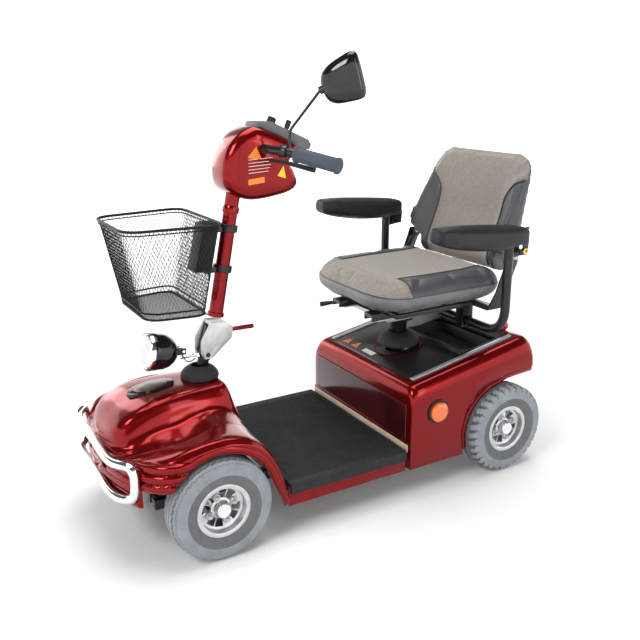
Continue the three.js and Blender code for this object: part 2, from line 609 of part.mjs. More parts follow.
const tieEnds = [-KINGPIN_X, 0, KINGPIN_X];
addPart('tie_rod', cut(
  union([
    rod([-KINGPIN_X, tieY, TIE_ROD_Z], [KINGPIN_X, tieY, TIE_ROD_Z], 5.5, 10),
    ...tieEnds.map((x) => rod([x, tieY, TIE_ROD_Z - 6], [x, tieY, TIE_ROD_Z + 6], x === 0 ? 12 : 10, 14)),
  ]),
  tieEnds.map((x) => rod([x, tieY, TIE_ROD_Z - 20], [x, tieY, TIE_ROD_Z + 20], x === 0 ? 8 : 5, 14)),
), zincSteel);

// The column turns in the head tube. Its drop arm ends in a pin that sits in the tie rod's middle eye.
function steeringColumn() {
  const armRoot = columnAt(190);
  const armTip = [0, tieY, 182];
  return union([
    rod(columnAt(184), columnAt(COLUMN_TOP_Z), COLUMN_RADIUS, 16),
    rod(armRoot, armTip, 8, 10),
    rod([0, tieY, 182], [0, tieY, TIE_ROD_Z - 4], 5, 10),
    rod(columnAt(COLUMN_TOP_Z - 85), columnAt(COLUMN_TOP_Z - 79), COLUMN_RADIUS + 2, 16),
  ]);
}
const TILT_PIVOT = columnAt(TILT_PIVOT_Z);
const tiltPin = rod([-26, TILT_PIVOT[1], TILT_PIVOT[2]], [26, TILT_PIVOT[1], TILT_PIVOT[2]], 5, 12);
addPart('steering_column', union([steeringColumn(), tiltPin]), blackPaint);

// ---------- headlight, carried by the column ----------
const LENS_CENTRE = [0, -466, 461];
const LIGHT_BACK = [0, -388, 449];
const lightAxis = (t) => between(LENS_CENTRE, LIGHT_BACK, t);
addPart('headlight_lens', rod(lightAxis(0.005), lightAxis(0.14), 45, 20, 46), clearLens);
const housingEars = SIDES.map(([, s]) => sidePlate(
  [[-394, 440], [-366, 438], [-364, 454], [-394, 460]], ...span(s, 6.6, 9.6),
));
addPart('headlight_housing', cut(union([
  rod(lightAxis(0.15), lightAxis(0.6), 46.5, 20, 43.4),
  rod(lightAxis(0.59), lightAxis(1), 43.4, 20, 24),
  ...housingEars,
]), [rod([-20, -372, 447], [20, -372, 447], 4.6, 12)]), blackPaint);
addPart('headlight_bracket', union([
  block([-6, 6], [-380, -332], [427, 432]),
  block([-6, 6], [-380, -366], [429, 456]),
  rod([-12, -372, 447], [12, -372, 447], 4, 10),
  sidePlate([[-340, 427], [-330, 427], [-330, 438], [-340, 438]], -14, 14),
]), chrome);
const cableRoute = [
  [12, -377, 439], [13, -373, 430], [13, -366, 421], [11, -357, 418], [8, -348, 419], [6, -340, 423],
];
addPart('headlight_cable', bar(new THREE.CatmullRomCurve3(cableRoute.map(point)), 1.6, 12, 6), blackRubber);

// ---------- tiller ----------
const tubeAt = (t) => between(TUBE_BOTTOM, TUBE_TOP, t);
// Two clamps on the tube carry the hook plate that the basket hangs on.
const basketClamps = [0.44, 0.8].map((t) => {
  const [, y, z] = tubeAt(t);
  return union([
    rod(tubeAt(t - 0.03), tubeAt(t + 0.03), TUBE_RADIUS + 6, 12),
    block([-12, 12], [y - 44, y - TUBE_RADIUS + 4], [z - 7, z + 7]),
  ]);
});
addPart('tiller_tube', union([
  rod(TUBE_BOTTOM, TUBE_TOP, TUBE_RADIUS, 12),
  rod(tubeAt(0), tubeAt(0.045), TUBE_RADIUS + 3, 12),
  rod(tubeAt(0.93), tubeAt(0.975), TUBE_RADIUS + 3, 12),
  ...basketClamps,
  sidePlate([[-300, 640], [-296, 640], [-268, 770], [-272, 770]], -30, 30),
]), redPaint);

const bracketOutline = [
  [-322, 420], [-301, 420], [-284, 434], [-244, 466], [-240, 496], [-258, 512], [-300, 516], [-328, 470],
  [-330, 436],
];
addPart('tilt_bracket', cut(union([
  sidePlate(bracketOutline, 19, 24),
  sidePlate(bracketOutline, -24, -19),
  sidePlate([[-300, 506], [-262, 500], [-260, 510], [-298, 515]], -24, 24),
]), [rod([-30, TILT_PIVOT[1], TILT_PIVOT[2]], [30, TILT_PIVOT[1], TILT_PIVOT[2]], 6, 14)]), zincSteel);

addPart('tilt_lever', union([
  rod([0, -252, 482], [0, -172, 480], 6, 12),
  rod([-18.6, -252, 482], [18.6, -252, 482], 6, 12),
]), redPaint);

// ---------- basket ----------
const BASKET_RIM_Z = 788;
const BASKET_FLOOR_Z = 572;
function basket() {
  const outer = loft([
    basketRing(BASKET_FLOOR_Z, -492, -346, 110, 132, 40),
    basketRing(BASKET_RIM_Z, -533, -302, 121, 144, 46),
  ]);
  const inner = loft([
    basketRing(BASKET_FLOOR_Z + 4, -489, -349, 107, 129, 38),
    basketRing(BASKET_RIM_Z + 1, -530, -305, 118, 141, 44),
  ]);
  const rimOuter = loft([
    basketRing(BASKET_RIM_Z - 8, -535, -300, 123, 146, 46),
    basketRing(BASKET_RIM_Z, -537, -299, 125, 148, 46),
  ]);
  const hookPlate = sidePlate([[-336, 650], [-299.2, 650], [-273.8, 768], [-308, 768]], -28, 28);
  return cut(union([outer, rimOuter, hookPlate]), [inner]);
}
addPart('basket', basket(), blackPaint);

// ---------- control head ----------
const headOutline = [
  [-236, 840], [-180, 818], [-86, 828], [-50, 850], [-60, 882], [-74, 910], [-46, 932], [-64, 956],
  [-150, 994], [-190, 990], [-226, 964], [-252, 918], [-256, 870],
];
const inwards = (outline, share) => {
  const middle = outline.reduce(([a, b], [y, z]) => [a + y / outline.length, b + z / outline.length], [0, 0]);
  return outline.map(([y, z]) => [middle[0] + (y - middle[0]) * share, middle[1] + (z - middle[1]) * share]);
};
function headCover() {
  const outer = sidePlate(headOutline, -HEAD_HALF_WIDTH, HEAD_HALF_WIDTH, 16, 3);
  const inner = sidePlate(inwards(headOutline, 0.86), -HEAD_HALF_WIDTH + 5, HEAD_HALF_WIDTH - 5);
  const [, barY, barZ] = BAR_CENTRE;
  const barHole = rod([-90, barY, barZ], [90, barY, barZ], BAR_RADIUS + 1.5, 16);
  const leverSlot = block([-90, 90], [-158, -76], [905, 925]);
  const neck = rod(tubeAt(0.96), between(TUBE_BOTTOM, TUBE_TOP, 1.2), TUBE_RADIUS + 4, 20);
  const consoleHole = block([-22, 22], [-146, -104], [930, 1010]);
  return cut(outer, [inner, barHole, leverSlot, neck, consoleHole]);
}
addPart('head_cover', headCover(), redPaint);

const NECK_TOP = [0, BAR_CENTRE[1] - 52, 880];
function handlebar() {
  const [, barY, barZ] = BAR_CENTRE;
  const end = between(GRIP_END, GRIP_START, 0.04);
  const route = [flipX(end), flipX(GRIP_START), [-96, barY, barZ], [96, barY, barZ], GRIP_START, end];
  const curve = roundedPath(route, 14);
  const stem = rod([0, TUBE_TOP[1] + 1.2, TUBE_TOP[2] + 5], NECK_TOP, 16, 12);
  const web = rod(NECK_TOP, [0, BAR_CENTRE[1] - 4, BAR_CENTRE[2]], 8, 12);
  const mirrorClamp = union([
    rod([116, -137, 941.6], [128, -127.8, 940], BAR_RADIUS + 5, 12),
    rod([127, -129, 946], [127, -123, 957], 6, 10),
  ]);
  return union([bar(curve, BAR_RADIUS, 16, 8), stem, web, mirrorClamp]);
}
addPart('handlebar', handlebar(), blackPaint);

for (const [side, s] of SIDES) {
  const start = s > 0 ? GRIP_START : flipX(GRIP_START);
  const end = s > 0 ? GRIP_END : flipX(GRIP_END);
  const sleeve = union([
    rod(between(start, end, 0.14), end, GRIP_RADIUS, 18),
    rod(between(start, end, 0.9), end, GRIP_RADIUS + 2, 18),
  ]);
  const bore = rod(between(start, end, -0.2), between(start, end, 0.985), BAR_RADIUS + 0.9, 18);
  addPart(`grip_${side}`, cut(sleeve, [bore]), gripRubber);
}

addPart('throttle_lever', union([
  rod([0, -150, 909], [0, -150, 921], 9, 12),
  rod([-84, -124, 915], [0, -150, 915], 4.5, 10),
  rod([0, -150, 915], [84, -124, 915], 4.5, 10),
  ...SIDES.map(([, s]) => rod([s * 83, -124.3, 915], [s * 172, -78, 899], 4.5, 10, 7)),
]), blackPlastic);

// Console: a wedge on the head's sloping top, with knobs standing square to its face.
const CONSOLE_SLOPE = Math.atan2(48, 104);
const consoleTop = (y) => 1006.5 - (y + 118) * Math.tan(CONSOLE_SLOPE);
const consoleOutline = [
  [-162, 994.4], [-149, 994.8], [-62, 956.8], [-43, 934], [-12, 934], [-6, 946], [-14, 958], [-118, 1006],
  [-156, 1007],
];
const consoleNormal = [0, Math.sin(CONSOLE_SLOPE), Math.cos(CONSOLE_SLOPE)];
const standing = ([x, y], height) => {
  const base = [x, y, consoleTop(y)];
  return base.map((v, i) => v + consoleNormal[i] * height);
};
function knob(place, radius, height, facets) {
  return rod(standing(place, CLEAR), standing(place, height), radius, facets, radius * 0.9);
}
const SPEED_KNOB = [0, -105];
const KEY_SWITCH = [20, -72];
const HORN_BUTTON = [-20, -72];
const buttonWell = rod(standing(HORN_BUTTON, -7), standing(HORN_BUTTON, 3), 9.6, 16);
addPart('console', cut(sidePlate(consoleOutline, -32, 32), [buttonWell]), greyPlastic);
addPart('speed_knob', knob(SPEED_KNOB, 12, 15, 12), blackPlastic);
addPart('ignition_key', union([
  knob(KEY_SWITCH, 6, 4, 12),
  (() => {
    const [x, y, z] = standing(KEY_SWITCH, 3.5);
    const blade = new THREE.BoxGeometry(3, 14, 20).rotateX(-CONSOLE_SLOPE);
    return solid(blade.translate(x, y + consoleNormal[1] * 10, z + consoleNormal[2] * 10));
  })(),
]), blackPlastic);
addPart('horn_button', knob(HORN_BUTTON, 8, 7, 14), blackPlastic);

// ---------- mirror ----------
const STALK_BASE = [127, -122, 958.4];
const STALK_ELBOW = [119, -113, 990];
const MIRROR_BALL = [195, -76, 1080];
addPart('mirror_stalk', union([
  rod(STALK_BASE, STALK_ELBOW, 3.5, 8),
  rod(STALK_ELBOW, MIRROR_BALL, 3.5, 8),
  solid(new THREE.SphereGeometry(6.5, 8, 6).translate(...MIRROR_BALL)),
]), blackPaint);

// The shell is a rounded three-cornered dish, turned outwards, with a cup for the stalk's ball.
const MIRROR_CENTRE = [230, -34, 1108];
const MIRROR_TURN = THREE.MathUtils.degToRad(50);
function mirrorShell() {
  const corners = [[-56, -2], [-34, 32], [16, 60], [34, 48], [56, -32], [46, -52], [-16, -62], [-46, -46]];
  const outline = new THREE.CatmullRomCurve3(corners.map(([u, v]) => point([u, v, 0])), true, 'centripetal');
  const shape = new THREE.Shape(outline.getPoints(20).slice(1).map((p) => new THREE.Vector2(p.x, p.y)));
  const dish = new THREE.ExtrudeGeometry(shape, {
    depth: 4, bevelEnabled: true, bevelThickness: 11, bevelSize: 9, bevelOffset: -9, bevelSegments: 2,
  });
  return dish.rotateX(Math.PI / 2).rotateZ(MIRROR_TURN).translate(...MIRROR_CENTRE);
}
const mirrorCup = rod(MIRROR_BALL, between(MIRROR_BALL, MIRROR_CENTRE, 0.6), 9, 12);
const mirrorSocket = solid(new THREE.SphereGeometry(7.2, 12, 8).translate(...MIRROR_BALL));
const stalkSlot = rod(MIRROR_BALL, STALK_ELBOW, 7, 12);
addPart('mirror_shell', cut(solid(mirrorShell()).add(mirrorCup), [mirrorSocket, stalkSlot]), blackPlastic);

// ---------- seat ----------
const seatPlan = [];
const plan = new THREE.Path();
plan.moveTo(-CUSHION_HALF_WIDTH, CUSHION_REAR_Y - 60);
plan.quadraticCurveTo(-CUSHION_HALF_WIDTH, CUSHION_REAR_Y, -CUSHION_HALF_WIDTH + 60, CUSHION_REAR_Y);
plan.lineTo(CUSHION_HALF_WIDTH - 60, CUSHION_REAR_Y);
plan.quadraticCurveTo(CUSHION_HALF_WIDTH, CUSHION_REAR_Y, CUSHION_HALF_WIDTH, CUSHION_REAR_Y - 60);
plan.lineTo(CUSHION_HALF_WIDTH, CUSHION_FRONT_Y + 110);
plan.quadraticCurveTo(CUSHION_HALF_WIDTH, CUSHION_FRONT_Y + 10, 90, CUSHION_FRONT_Y);
plan.lineTo(-90, CUSHION_FRONT_Y);
plan.quadraticCurveTo(-CUSHION_HALF_WIDTH, CUSHION_FRONT_Y + 10, -CUSHION_HALF_WIDTH, CUSHION_FRONT_Y + 110);
plan.getPoints(5).forEach((p) => seatPlan.push([p.x, p.y]));
const cushionRing = (z, share) => seatPlan.map(([x, y]) => (
  [x * share, SEAT_AXIS_Y + (y - SEAT_AXIS_Y) * share, z]
));
addPart('seat_cushion', loft([
  cushionRing(CUSHION_BOTTOM, 0.9),
  cushionRing(CUSHION_BOTTOM + 26, 1),
  cushionRing(CUSHION_BOTTOM + 58, 0.99),
  cushionRing(CUSHION_TOP - 8, 0.93),
  cushionRing(CUSHION_TOP, 0.8),
]), vinyl);

const BACK_LEAN = Math.atan2(52, 290);
function backrest() {
  const outline = new THREE.Shape();
  outline.moveTo(-BACK_HALF_WIDTH + 60, 0);
  outline.lineTo(BACK_HALF_WIDTH - 60, 0);
  outline.quadraticCurveTo(BACK_HALF_WIDTH - 10, 0, BACK_HALF_WIDTH, 70);
  outline.lineTo(BACK_HALF_WIDTH - 8, 230);
  outline.quadraticCurveTo(BACK_HALF_WIDTH - 20, 310, BACK_HALF_WIDTH - 110, 310);
  outline.lineTo(-BACK_HALF_WIDTH + 110, 310);
  outline.quadraticCurveTo(-BACK_HALF_WIDTH + 20, 310, -BACK_HALF_WIDTH + 8, 230);
  outline.lineTo(-BACK_HALF_WIDTH, 70);
  outline.quadraticCurveTo(-BACK_HALF_WIDTH + 10, 0, -BACK_HALF_WIDTH + 60, 0);
  const pad = new THREE.ExtrudeGeometry(outline, {
    depth: 28, bevelEnabled: true, bevelThickness: 18, bevelSize: 16, bevelOffset: -16, bevelSegments: 2,
    curveSegments: 5,
  });
  pad.rotateX(Math.PI / 2 - BACK_LEAN);
  const arm = [[516, 616], [540, 616], [590, 700], [572, 700]];
  const bolster = [[502, 626], [520, 744], [556, 850], [590, 850], [562, 626]];
  const [, hingeY, hingeZ] = BACK_HINGE;
  return union([
    solid(pad.translate(0, 554, 606)),
    ...SIDES.map(([, s]) => sidePlate(bolster, ...span(s, 158, 215), 8, 1)),
    sidePlate(arm, -222, -217),
    sidePlate(arm, 217, 222),
    sidePlate([[571, 672], [575, 672], [586, 700], [580, 700]], -220, 220),
    ...SIDES.map(([, s]) => rod([s * 232, hingeY, hingeZ], [s * 218, hingeY, hingeZ], 5, 12)),
  ]);
}
addPart('backrest', backrest(), vinyl);

// The swivel plate turns on the pillar and carries the lower halves of two seat slides.
const SLIDE_X = 84;
function swivelPlate() {
  const swivel = rod([0, SEAT_AXIS_Y, PEDESTAL_TOP + CLEAR], [0, SEAT_AXIS_Y, 452], 60, 20);
  const bridge = block([-90, 90], [SEAT_AXIS_Y - 100, SEAT_AXIS_Y + 100], [450, 462]);
  const slides = SIDES.map(([, s]) => block(span(s, SLIDE_X - 14, SLIDE_X + 14), [160, 440], [460, 474]));
  return union([swivel, bridge, ...slides]);
}
addPart('swivel_plate', swivelPlate(), zincSteel);

// The seat frame rides on the slides: channels, pan, armrest sockets and the ears of the backrest hinge.
function seatFrame() {
  const rails = SIDES.map(([, s]) => cut(
    block(span(s, SLIDE_X - 20, SLIDE_X + 20), [140, 470], [466, 486]),
    [block(span(s, SLIDE_X - 15.5, SLIDE_X + 15.5), [100, 500], [455, 476])],
  ));
  const pan = block([-170, 170], [176, 470], [484, 496]);
  const panLift = block([-160, 160], [190, 460], [494, CUSHION_BOTTOM - CLEAR]);
  const sockets = SIDES.map(([, s]) => block(
    span(s, 106, 134), [ARM_POST_Y - 20, ARM_POST_Y + 20], [ARM_CROSSBAR_Z - 20, 490],
  ));
  const bore = ARM_TUBE_RADIUS + 0.6;
  const crossbarHole = block(
    [-300, 300], [ARM_POST_Y - bore, ARM_POST_Y + bore], [ARM_CROSSBAR_Z - bore, ARM_CROSSBAR_Z + bore],
  );
  const earOutline = [[440, 484], [490, 484], [544, 610], [544, 640], [512, 640], [470, 530]];
  const ears = SIDES.map(([, s]) => union([
    sidePlate(earOutline, ...span(s, 226, 231)),
    block(span(s, 160, 229), [440, 470], [484, 496]),
  ]));
  const [, hingeY, hingeZ] = BACK_HINGE;
  const hingeHole = rod([-240, hingeY, hingeZ], [240, hingeY, hingeZ], 6, 14);
  return cut(union([...rails, pan, panLift, ...sockets, ...ears]), [crossbarHole, hingeHole]);
}
addPart('seat_frame', seatFrame(), blackPaint);

function armTube() {
  const halfRoute = (s) => roundedPath([
    [0, ARM_POST_Y, ARM_CROSSBAR_Z],
    [s * ARM_X, ARM_POST_Y, ARM_CROSSBAR_Z],
    [s * ARM_X, ARM_POST_Y, ARM_POST_TOP],
  ], 78);
  const plates = SIDES.map(([, s]) => sidePlate(
    [[ARM_POST_Y - 6, 640], [ARM_PIVOT_Y + 10, 646], [ARM_PIVOT_Y + 12, 672], [ARM_POST_Y - 6, ARM_POST_TOP]],
    ...span(s, ARM_X - 3, ARM_X + 3),
  ));
  return union([
    bar(halfRoute(1), ARM_TUBE_RADIUS, 10, 8), bar(halfRoute(-1), ARM_TUBE_RADIUS, 10, 8), ...plates,
    rod([-20, ARM_POST_Y, ARM_CROSSBAR_Z], [20, ARM_POST_Y, ARM_CROSSBAR_Z], ARM_TUBE_RADIUS, 8),
  ]);
}
addPart('arm_tube', armTube(), blackPaint);

for (const [side, s] of SIDES) {
  const x = s * ARM_X;
  const padOutline = [
    [ARM_PAD_FRONT_Y, 722], [ARM_PAD_FRONT_Y + 14, 710], [ARM_POST_Y - 60, 690], [ARM_PAD_REAR_Y, 682],
    [ARM_PAD_REAR_Y, ARM_PAD_REAR_TOP - 4], [ARM_PAD_REAR_Y - 8, ARM_PAD_REAR_TOP],
    [ARM_PAD_FRONT_Y + 16, ARM_PAD_FRONT_TOP], [ARM_PAD_FRONT_Y, ARM_PAD_FRONT_TOP - 10],
  ];
  const earOutline = [
    [ARM_PIVOT_Y - 14, 650], [ARM_PIVOT_Y + 12, 650], [ARM_PIVOT_Y + 14, 700], [ARM_PIVOT_Y - 50, 700],
    [ARM_PIVOT_Y - 20, 668],
  ];
  const ear = (offset) => sidePlate(earOutline, x + offset - 2.5, x + offset + 2.5);
  const pad = sidePlate(padOutline, x - 30, x + 30, 5, 1);
  addPart(`armrest_${side}`, union([pad, ear(-17), ear(17)]), padVinyl);
}

addPart('swivel_lever', union([
  rod([-110, 240, 456], [-110, 240, 464], 8, 12),
  rod([-112, 238, 460], [-150, 196, 456], 4, 10),
  rod([-150, 196, 456], [-180, 141, 447], 4, 10, 8),
]), blackPlastic);

export default scooter;
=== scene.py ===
"""A mobility scooter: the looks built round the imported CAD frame.

Points and lengths are in millimetres, in the same frame as the CAD model, and meshes are made in metres.
"""

import json
import math

import bmesh
import bpy
from mathutils import Matrix, Vector
from mathutils.bvhtree import BVHTree


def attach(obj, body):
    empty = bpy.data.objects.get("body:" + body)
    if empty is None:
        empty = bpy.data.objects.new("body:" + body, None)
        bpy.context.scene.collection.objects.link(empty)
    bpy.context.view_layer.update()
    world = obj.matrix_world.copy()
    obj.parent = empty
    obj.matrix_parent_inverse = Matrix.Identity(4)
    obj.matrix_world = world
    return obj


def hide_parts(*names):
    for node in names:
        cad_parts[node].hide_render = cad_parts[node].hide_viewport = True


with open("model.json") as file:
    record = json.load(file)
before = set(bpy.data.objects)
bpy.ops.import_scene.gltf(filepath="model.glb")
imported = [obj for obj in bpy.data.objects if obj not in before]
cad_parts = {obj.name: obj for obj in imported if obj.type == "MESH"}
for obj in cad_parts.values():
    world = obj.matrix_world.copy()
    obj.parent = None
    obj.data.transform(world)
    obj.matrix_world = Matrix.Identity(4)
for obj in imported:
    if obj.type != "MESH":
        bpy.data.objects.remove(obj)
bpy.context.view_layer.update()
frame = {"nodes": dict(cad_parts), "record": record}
scene = bpy.context.scene
nodes = frame["nodes"]
BODY_OF = {n: b for b, members in frame["record"]["behaviour"]["bodies"].items() for n in members}
MM = 0.001
SIDES = (("left", 1), ("right", -1))


# ---------- materials ----------
def material(name, colour, rough, metal=0.0, coat=0.0, grain=(900, 0.04), mottle=(40, 0.12), wear=0.05, **extra):
    """A shader with colour mottling, roughness variation and surface grain, all in object space."""
    made = bpy.data.materials.new(name)
    made.use_nodes = True
    tree = made.node_tree
    shader = tree.nodes["Principled BSDF"]
    shader.inputs["Metallic"].default_value = metal
    shader.inputs["Coat Weight"].default_value = coat
    shader.inputs["Coat Roughness"].default_value = 0.05
    for key, value in extra.items():
        shader.inputs[key.replace("_", " ")].default_value = value
    place = tree.nodes.new("ShaderNodeTexCoord")

    def noise(scale, detail=3.0):
        made_noise = tree.nodes.new("ShaderNodeTexNoise")
        made_noise.inputs["Scale"].default_value = scale
        made_noise.inputs["Detail"].default_value = detail
        tree.links.new(place.outputs["Object"], made_noise.inputs["Vector"])
        return made_noise.outputs["Fac"]

    ramp = tree.nodes.new("ShaderNodeValToRGB")
    ramp.color_ramp.elements[0].position = 0.3
    ramp.color_ramp.elements[1].position = 0.7
    ramp.color_ramp.elements[0].color = [c * (1 - mottle[1]) for c in colour] + [1]
    ramp.color_ramp.elements[1].color = [min(1, c * (1 + mottle[1])) for c in colour] + [1]
    tree.links.new(noise(mottle[0]), ramp.inputs["Fac"])
    tree.links.new(ramp.outputs["Color"], shader.inputs["Base Color"])
    spread = tree.nodes.new("ShaderNodeMapRange")
    spread.inputs["To Min"].default_value = max(0, rough - wear)
    spread.inputs["To Max"].default_value = rough + wear
    tree.links.new(noise(25), spread.inputs["Value"])
    tree.links.new(spread.outputs["Result"], shader.inputs["Roughness"])
    bump = tree.nodes.new("ShaderNodeBump")
    bump.inputs["Strength"].default_value = grain[1]
    bump.inputs["Distance"].default_value = 0.0006
    tree.links.new(noise(grain[0], 2.0), bump.inputs["Height"])
    tree.links.new(bump.outputs["Normal"], shader.inputs["Normal"])
    return made


def creased(made, scale, strength, distance=0.0005):
    """Adds leather grain, as the cells of a Voronoi pattern, over a material's own grain."""
    tree = made.node_tree
    place = next(n for n in tree.nodes if n.type == "TEX_COORD")
    cells = tree.nodes.new("ShaderNodeTexVoronoi")
    cells.feature = "DISTANCE_TO_EDGE"
    cells.inputs["Scale"].default_value = scale
    tree.links.new(place.outputs["Object"], cells.inputs["Vector"])
    groove = tree.nodes.new("ShaderNodeMapRange")
    groove.inputs["From Max"].default_value = 0.18
    tree.links.new(cells.outputs["Distance"], groove.inputs["Value"])
    bump = tree.nodes.new("ShaderNodeBump")
    bump.inputs["Strength"].default_value = strength
    bump.inputs["Distance"].default_value = distance
    tree.links.new(groove.outputs["Result"], bump.inputs["Height"])
    shader = tree.nodes["Principled BSDF"]
    tree.links.new(shader.inputs["Normal"].links[0].from_socket, bump.inputs["Normal"])
    tree.links.new(bump.outputs["Normal"], shader.inputs["Normal"])
    return made


RED = material("candy_red", (0.21, 0.001, 0.0022), 0.22, 0.75, 0.6, (2600, 0.015), (1800, 0.05), 0.008, Coat_IOR=1.34,
               Specular_IOR_Level=0.2)
LENS_CLEAR = material("lens_clear", (0.86, 0.9, 0.93), 0.06, 0.0, 1.0, (300, 0.03), (60, 0.03), 0.03,
                      Transmission_Weight=0.95, IOR=1.35)
# the reflector's strong colour mottle is painted reflection: bright and dark patches standing in for light caught by
# the facets
REFLECTOR = material("faceted_reflector_painted_glints", (0.5, 0.52, 0.55), 0.12, 1.0, 0.0, (120, 0.5), (190, 0.8), 0.05)
# darker grey for the tyre groove floors: painted shade in the recesses, not a different rubber
GROOVE_SHADE = material("tyre_groove_painted_shade", (0.12, 0.125, 0.13), 0.8, grain=(900, 0.1))
MATERIALS = {
    "red_paint": RED,
    "black_plastic": creased(material("black_plastic", (0.008, 0.008, 0.009), 0.42, Specular_IOR_Level=0.3), 420, 0.25,
                             0.0003),
    "grey_plastic": creased(material("grey_plastic", (0.10, 0.105, 0.11), 0.5), 420, 0.2, 0.0003),
    "black_steel": material("black_steel", (0.006, 0.006, 0.007), 0.3, 0.0, 0.25, (700, 0.03), Specular_IOR_Level=0.3),
    "rubber": material("rubber", (0.009, 0.009, 0.01), 0.75, 0.0, 0.0, (800, 0.25), (60, 0.25), 0.1),
    "grip_rubber": creased(material("grip_rubber", (0.045, 0.058, 0.08), 0.62), 700, 0.3, 0.0003),
    "tyre": material("tyre_grey", (0.24, 0.26, 0.285), 0.82, 0.0, 0.0, (500, 0.35), (30, 0.12), 0.08),
    "wheel_silver": material("wheel_silver", (0.58, 0.59, 0.61), 0.3, 0.75, 0.25, (1500, 0.06)),
    "chrome": material("chrome", (0.82, 0.83, 0.85), 0.07, 1.0, 0.0, (400, 0.01), (30, 0.03), 0.03),
    "zinc_steel": material("zinc_steel", (0.48, 0.48, 0.47), 0.34, 0.95, 0.0, (600, 0.08), (80, 0.12), 0.08),
    "cast_aluminium": material("cast_aluminium", (0.36, 0.37, 0.38), 0.5, 0.8, 0.0, (600, 0.3)),
    "seat_vinyl": creased(material("seat_vinyl", (0.035, 0.04, 0.046), 0.4, 0.0, 0.08), 260, 0.35, 0.0006),
    "pad_vinyl": creased(material("pad_vinyl", (0.006, 0.006, 0.007), 0.42, Specular_IOR_Level=0.35), 330, 0.3, 0.0004),
    "amber_lens": material("amber_lens", (0.9, 0.16, 0.01), 0.12, 0.0, 1.0, (300, 0.05), (400, 0.15),
                           Transmission_Weight=0.15),
    "red_lens": material("red_lens", (0.6, 0.006, 0.008), 0.12, 0.0, 1.0, (300, 0.05), (200, 0.1)),
    "clear_lens": LENS_CLEAR,
    "battery_case": material("battery_case", (0.024, 0.03, 0.045), 0.5),
}
PAD_FABRIC = creased(material("pad_fabric", (0.19, 0.165, 0.135), 0.62, 0.0, 0.0, (1800, 0.25), (120, 0.14),
                              Sheen_Weight=0.3), 300, 0.3, 0.0005)
GLOSS_BLACK = material("gloss_black", (0.005, 0.005, 0.007), 0.12, 0.0, 0.4, (200, 0.01), (30, 0.1), 0.04,
                       Specular_IOR_Level=0.3)
SMOKED = material("smoked_panel", (0.045, 0.004, 0.006), 0.16, 0.0, 0.4, (200, 0.02), (9, 0.5), 0.06,
                  Specular_IOR_Level=0.25)
BASKET_BLACK = material("basket_black", (0.004, 0.004, 0.005), 0.5, 0.0, 0.0, (900, 0.05), Specular_IOR_Level=0.25)
SKIRT = creased(material("seat_skirt", (0.13, 0.135, 0.14), 0.42, 0.0, 0.1), 260, 0.35, 0.0006)
ORANGE = material("sticker_orange", (0.9, 0.2, 0.01), 0.35, grain=(400, 0.02))
YELLOW = material("sticker_yellow", (0.9, 0.55, 0.02), 0.35, grain=(400, 0.02))
WHITE = material("label_white", (0.82, 0.82, 0.8), 0.4, grain=(400, 0.02))
CREAM = material("cream_trim", (0.55, 0.47, 0.34), 0.42)
MIRROR_GLASS = material("mirror_glass", (0.9, 0.91, 0.92), 0.02, 1.0, 0.0, (50, 0.0), (10, 0.01), 0.01)
GOLD = material("gold_bolt", (0.75, 0.52, 0.18), 0.28, 1.0)


# ---------- shape helpers ----------
def new_object(name, points, faces, *looks):
    mesh = bpy.data.meshes.new(name)
    mesh.from_pydata([Vector(p) * MM for p in points], [], faces)
    made = bpy.data.objects.new(name, mesh)
    scene.collection.objects.link(made)
    for look in looks:
        mesh.materials.append(look)
    return made


def bake(obj):
    """Applies every modifier, so that the piece is a plain mesh."""
    bpy.context.view_layer.update()
    graph = bpy.context.evaluated_depsgraph_get()
    mesh = bpy.data.meshes.new_from_object(obj.evaluated_get(graph))
    old = obj.data
    obj.modifiers.clear()
    obj.data = mesh
    bpy.data.meshes.remove(old)
    return obj


def outwards(obj):
    work = bmesh.new()
    work.from_mesh(obj.data)
    bmesh.ops.remove_doubles(work, verts=work.verts, dist=1e-6)
    bmesh.ops.recalc_face_normals(work, faces=work.faces)
    work.to_mesh(obj.data)
    work.free()
    return obj


def smooth(obj, angle=35):
    obj.data.shade_smooth()
    obj.data.set_sharp_from_angle(angle=math.radians(angle))
    return obj


def bevel(obj, width, segments=2, angle=30):
    edge = obj.modifiers.new("bevel", "BEVEL")
    edge.width = width * MM
    edge.segments = segments
    edge.limit_method = "ANGLE"
    edge.angle_limit = math.radians(angle)
    return bake(obj)


def subdivide(obj, levels):
    more = obj.modifiers.new("subdivide", "SUBSURF")
    more.levels = levels
    more.render_levels = levels
    return bake(obj)


def carve(obj, tools, solver="EXACT"):
    """Cuts each tool's shape out of the piece."""
    for tool in tools:
        outwards(tool)
        knife = obj.modifiers.new("carve", "BOOLEAN")
        knife.operation = "DIFFERENCE"
        knife.solver = solver
        knife.object = tool
    bake(obj)
    for tool in tools:
        bpy.data.objects.remove(tool)
    return obj


def ride(obj, body, replaces=(), angle=35):
    """The piece is finished: smooth shading, the body it moves with and the CAD nodes it stands for."""
    smooth(obj, angle)
    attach(obj, body)
    if replaces:
        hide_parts(*replaces)
    return obj


def loft(name, rings, look, closed=True, caps=True):
    count = len(rings[0])
    points = [p for ring in rings for p in ring]
    faces = []
    for r in range(len(rings) - 1):
        for i in range(count if closed else count - 1):
            a, b = r * count + i, r * count + (i + 1) % count
            faces.append((a, b, b + count, a + count))
    if caps:
        faces.append(tuple(range(count - 1, -1, -1)))
        faces.append(tuple(range((len(rings) - 1) * count, len(rings) * count)))
    return outwards(new_object(name, points, faces, look))


def prism(name, outline, x0, x1, look, edge=0.0, segments=3):
    """A side outline of (y, z) points, carried across from x0 to x1, with rounded edges."""
    made = loft(name, [[(x, y, z) for y, z in outline] for x in (x0, x1)], look)
    return bevel(made, edge, segments) if edge else made


def box(name, x, y, z, look, edge=0.0, segments=3):
    return prism(name, [(y[0], z[0]), (y[1], z[0]), (y[1], z[1]), (y[0], z[1])], x[0], x[1], look, edge, segments)


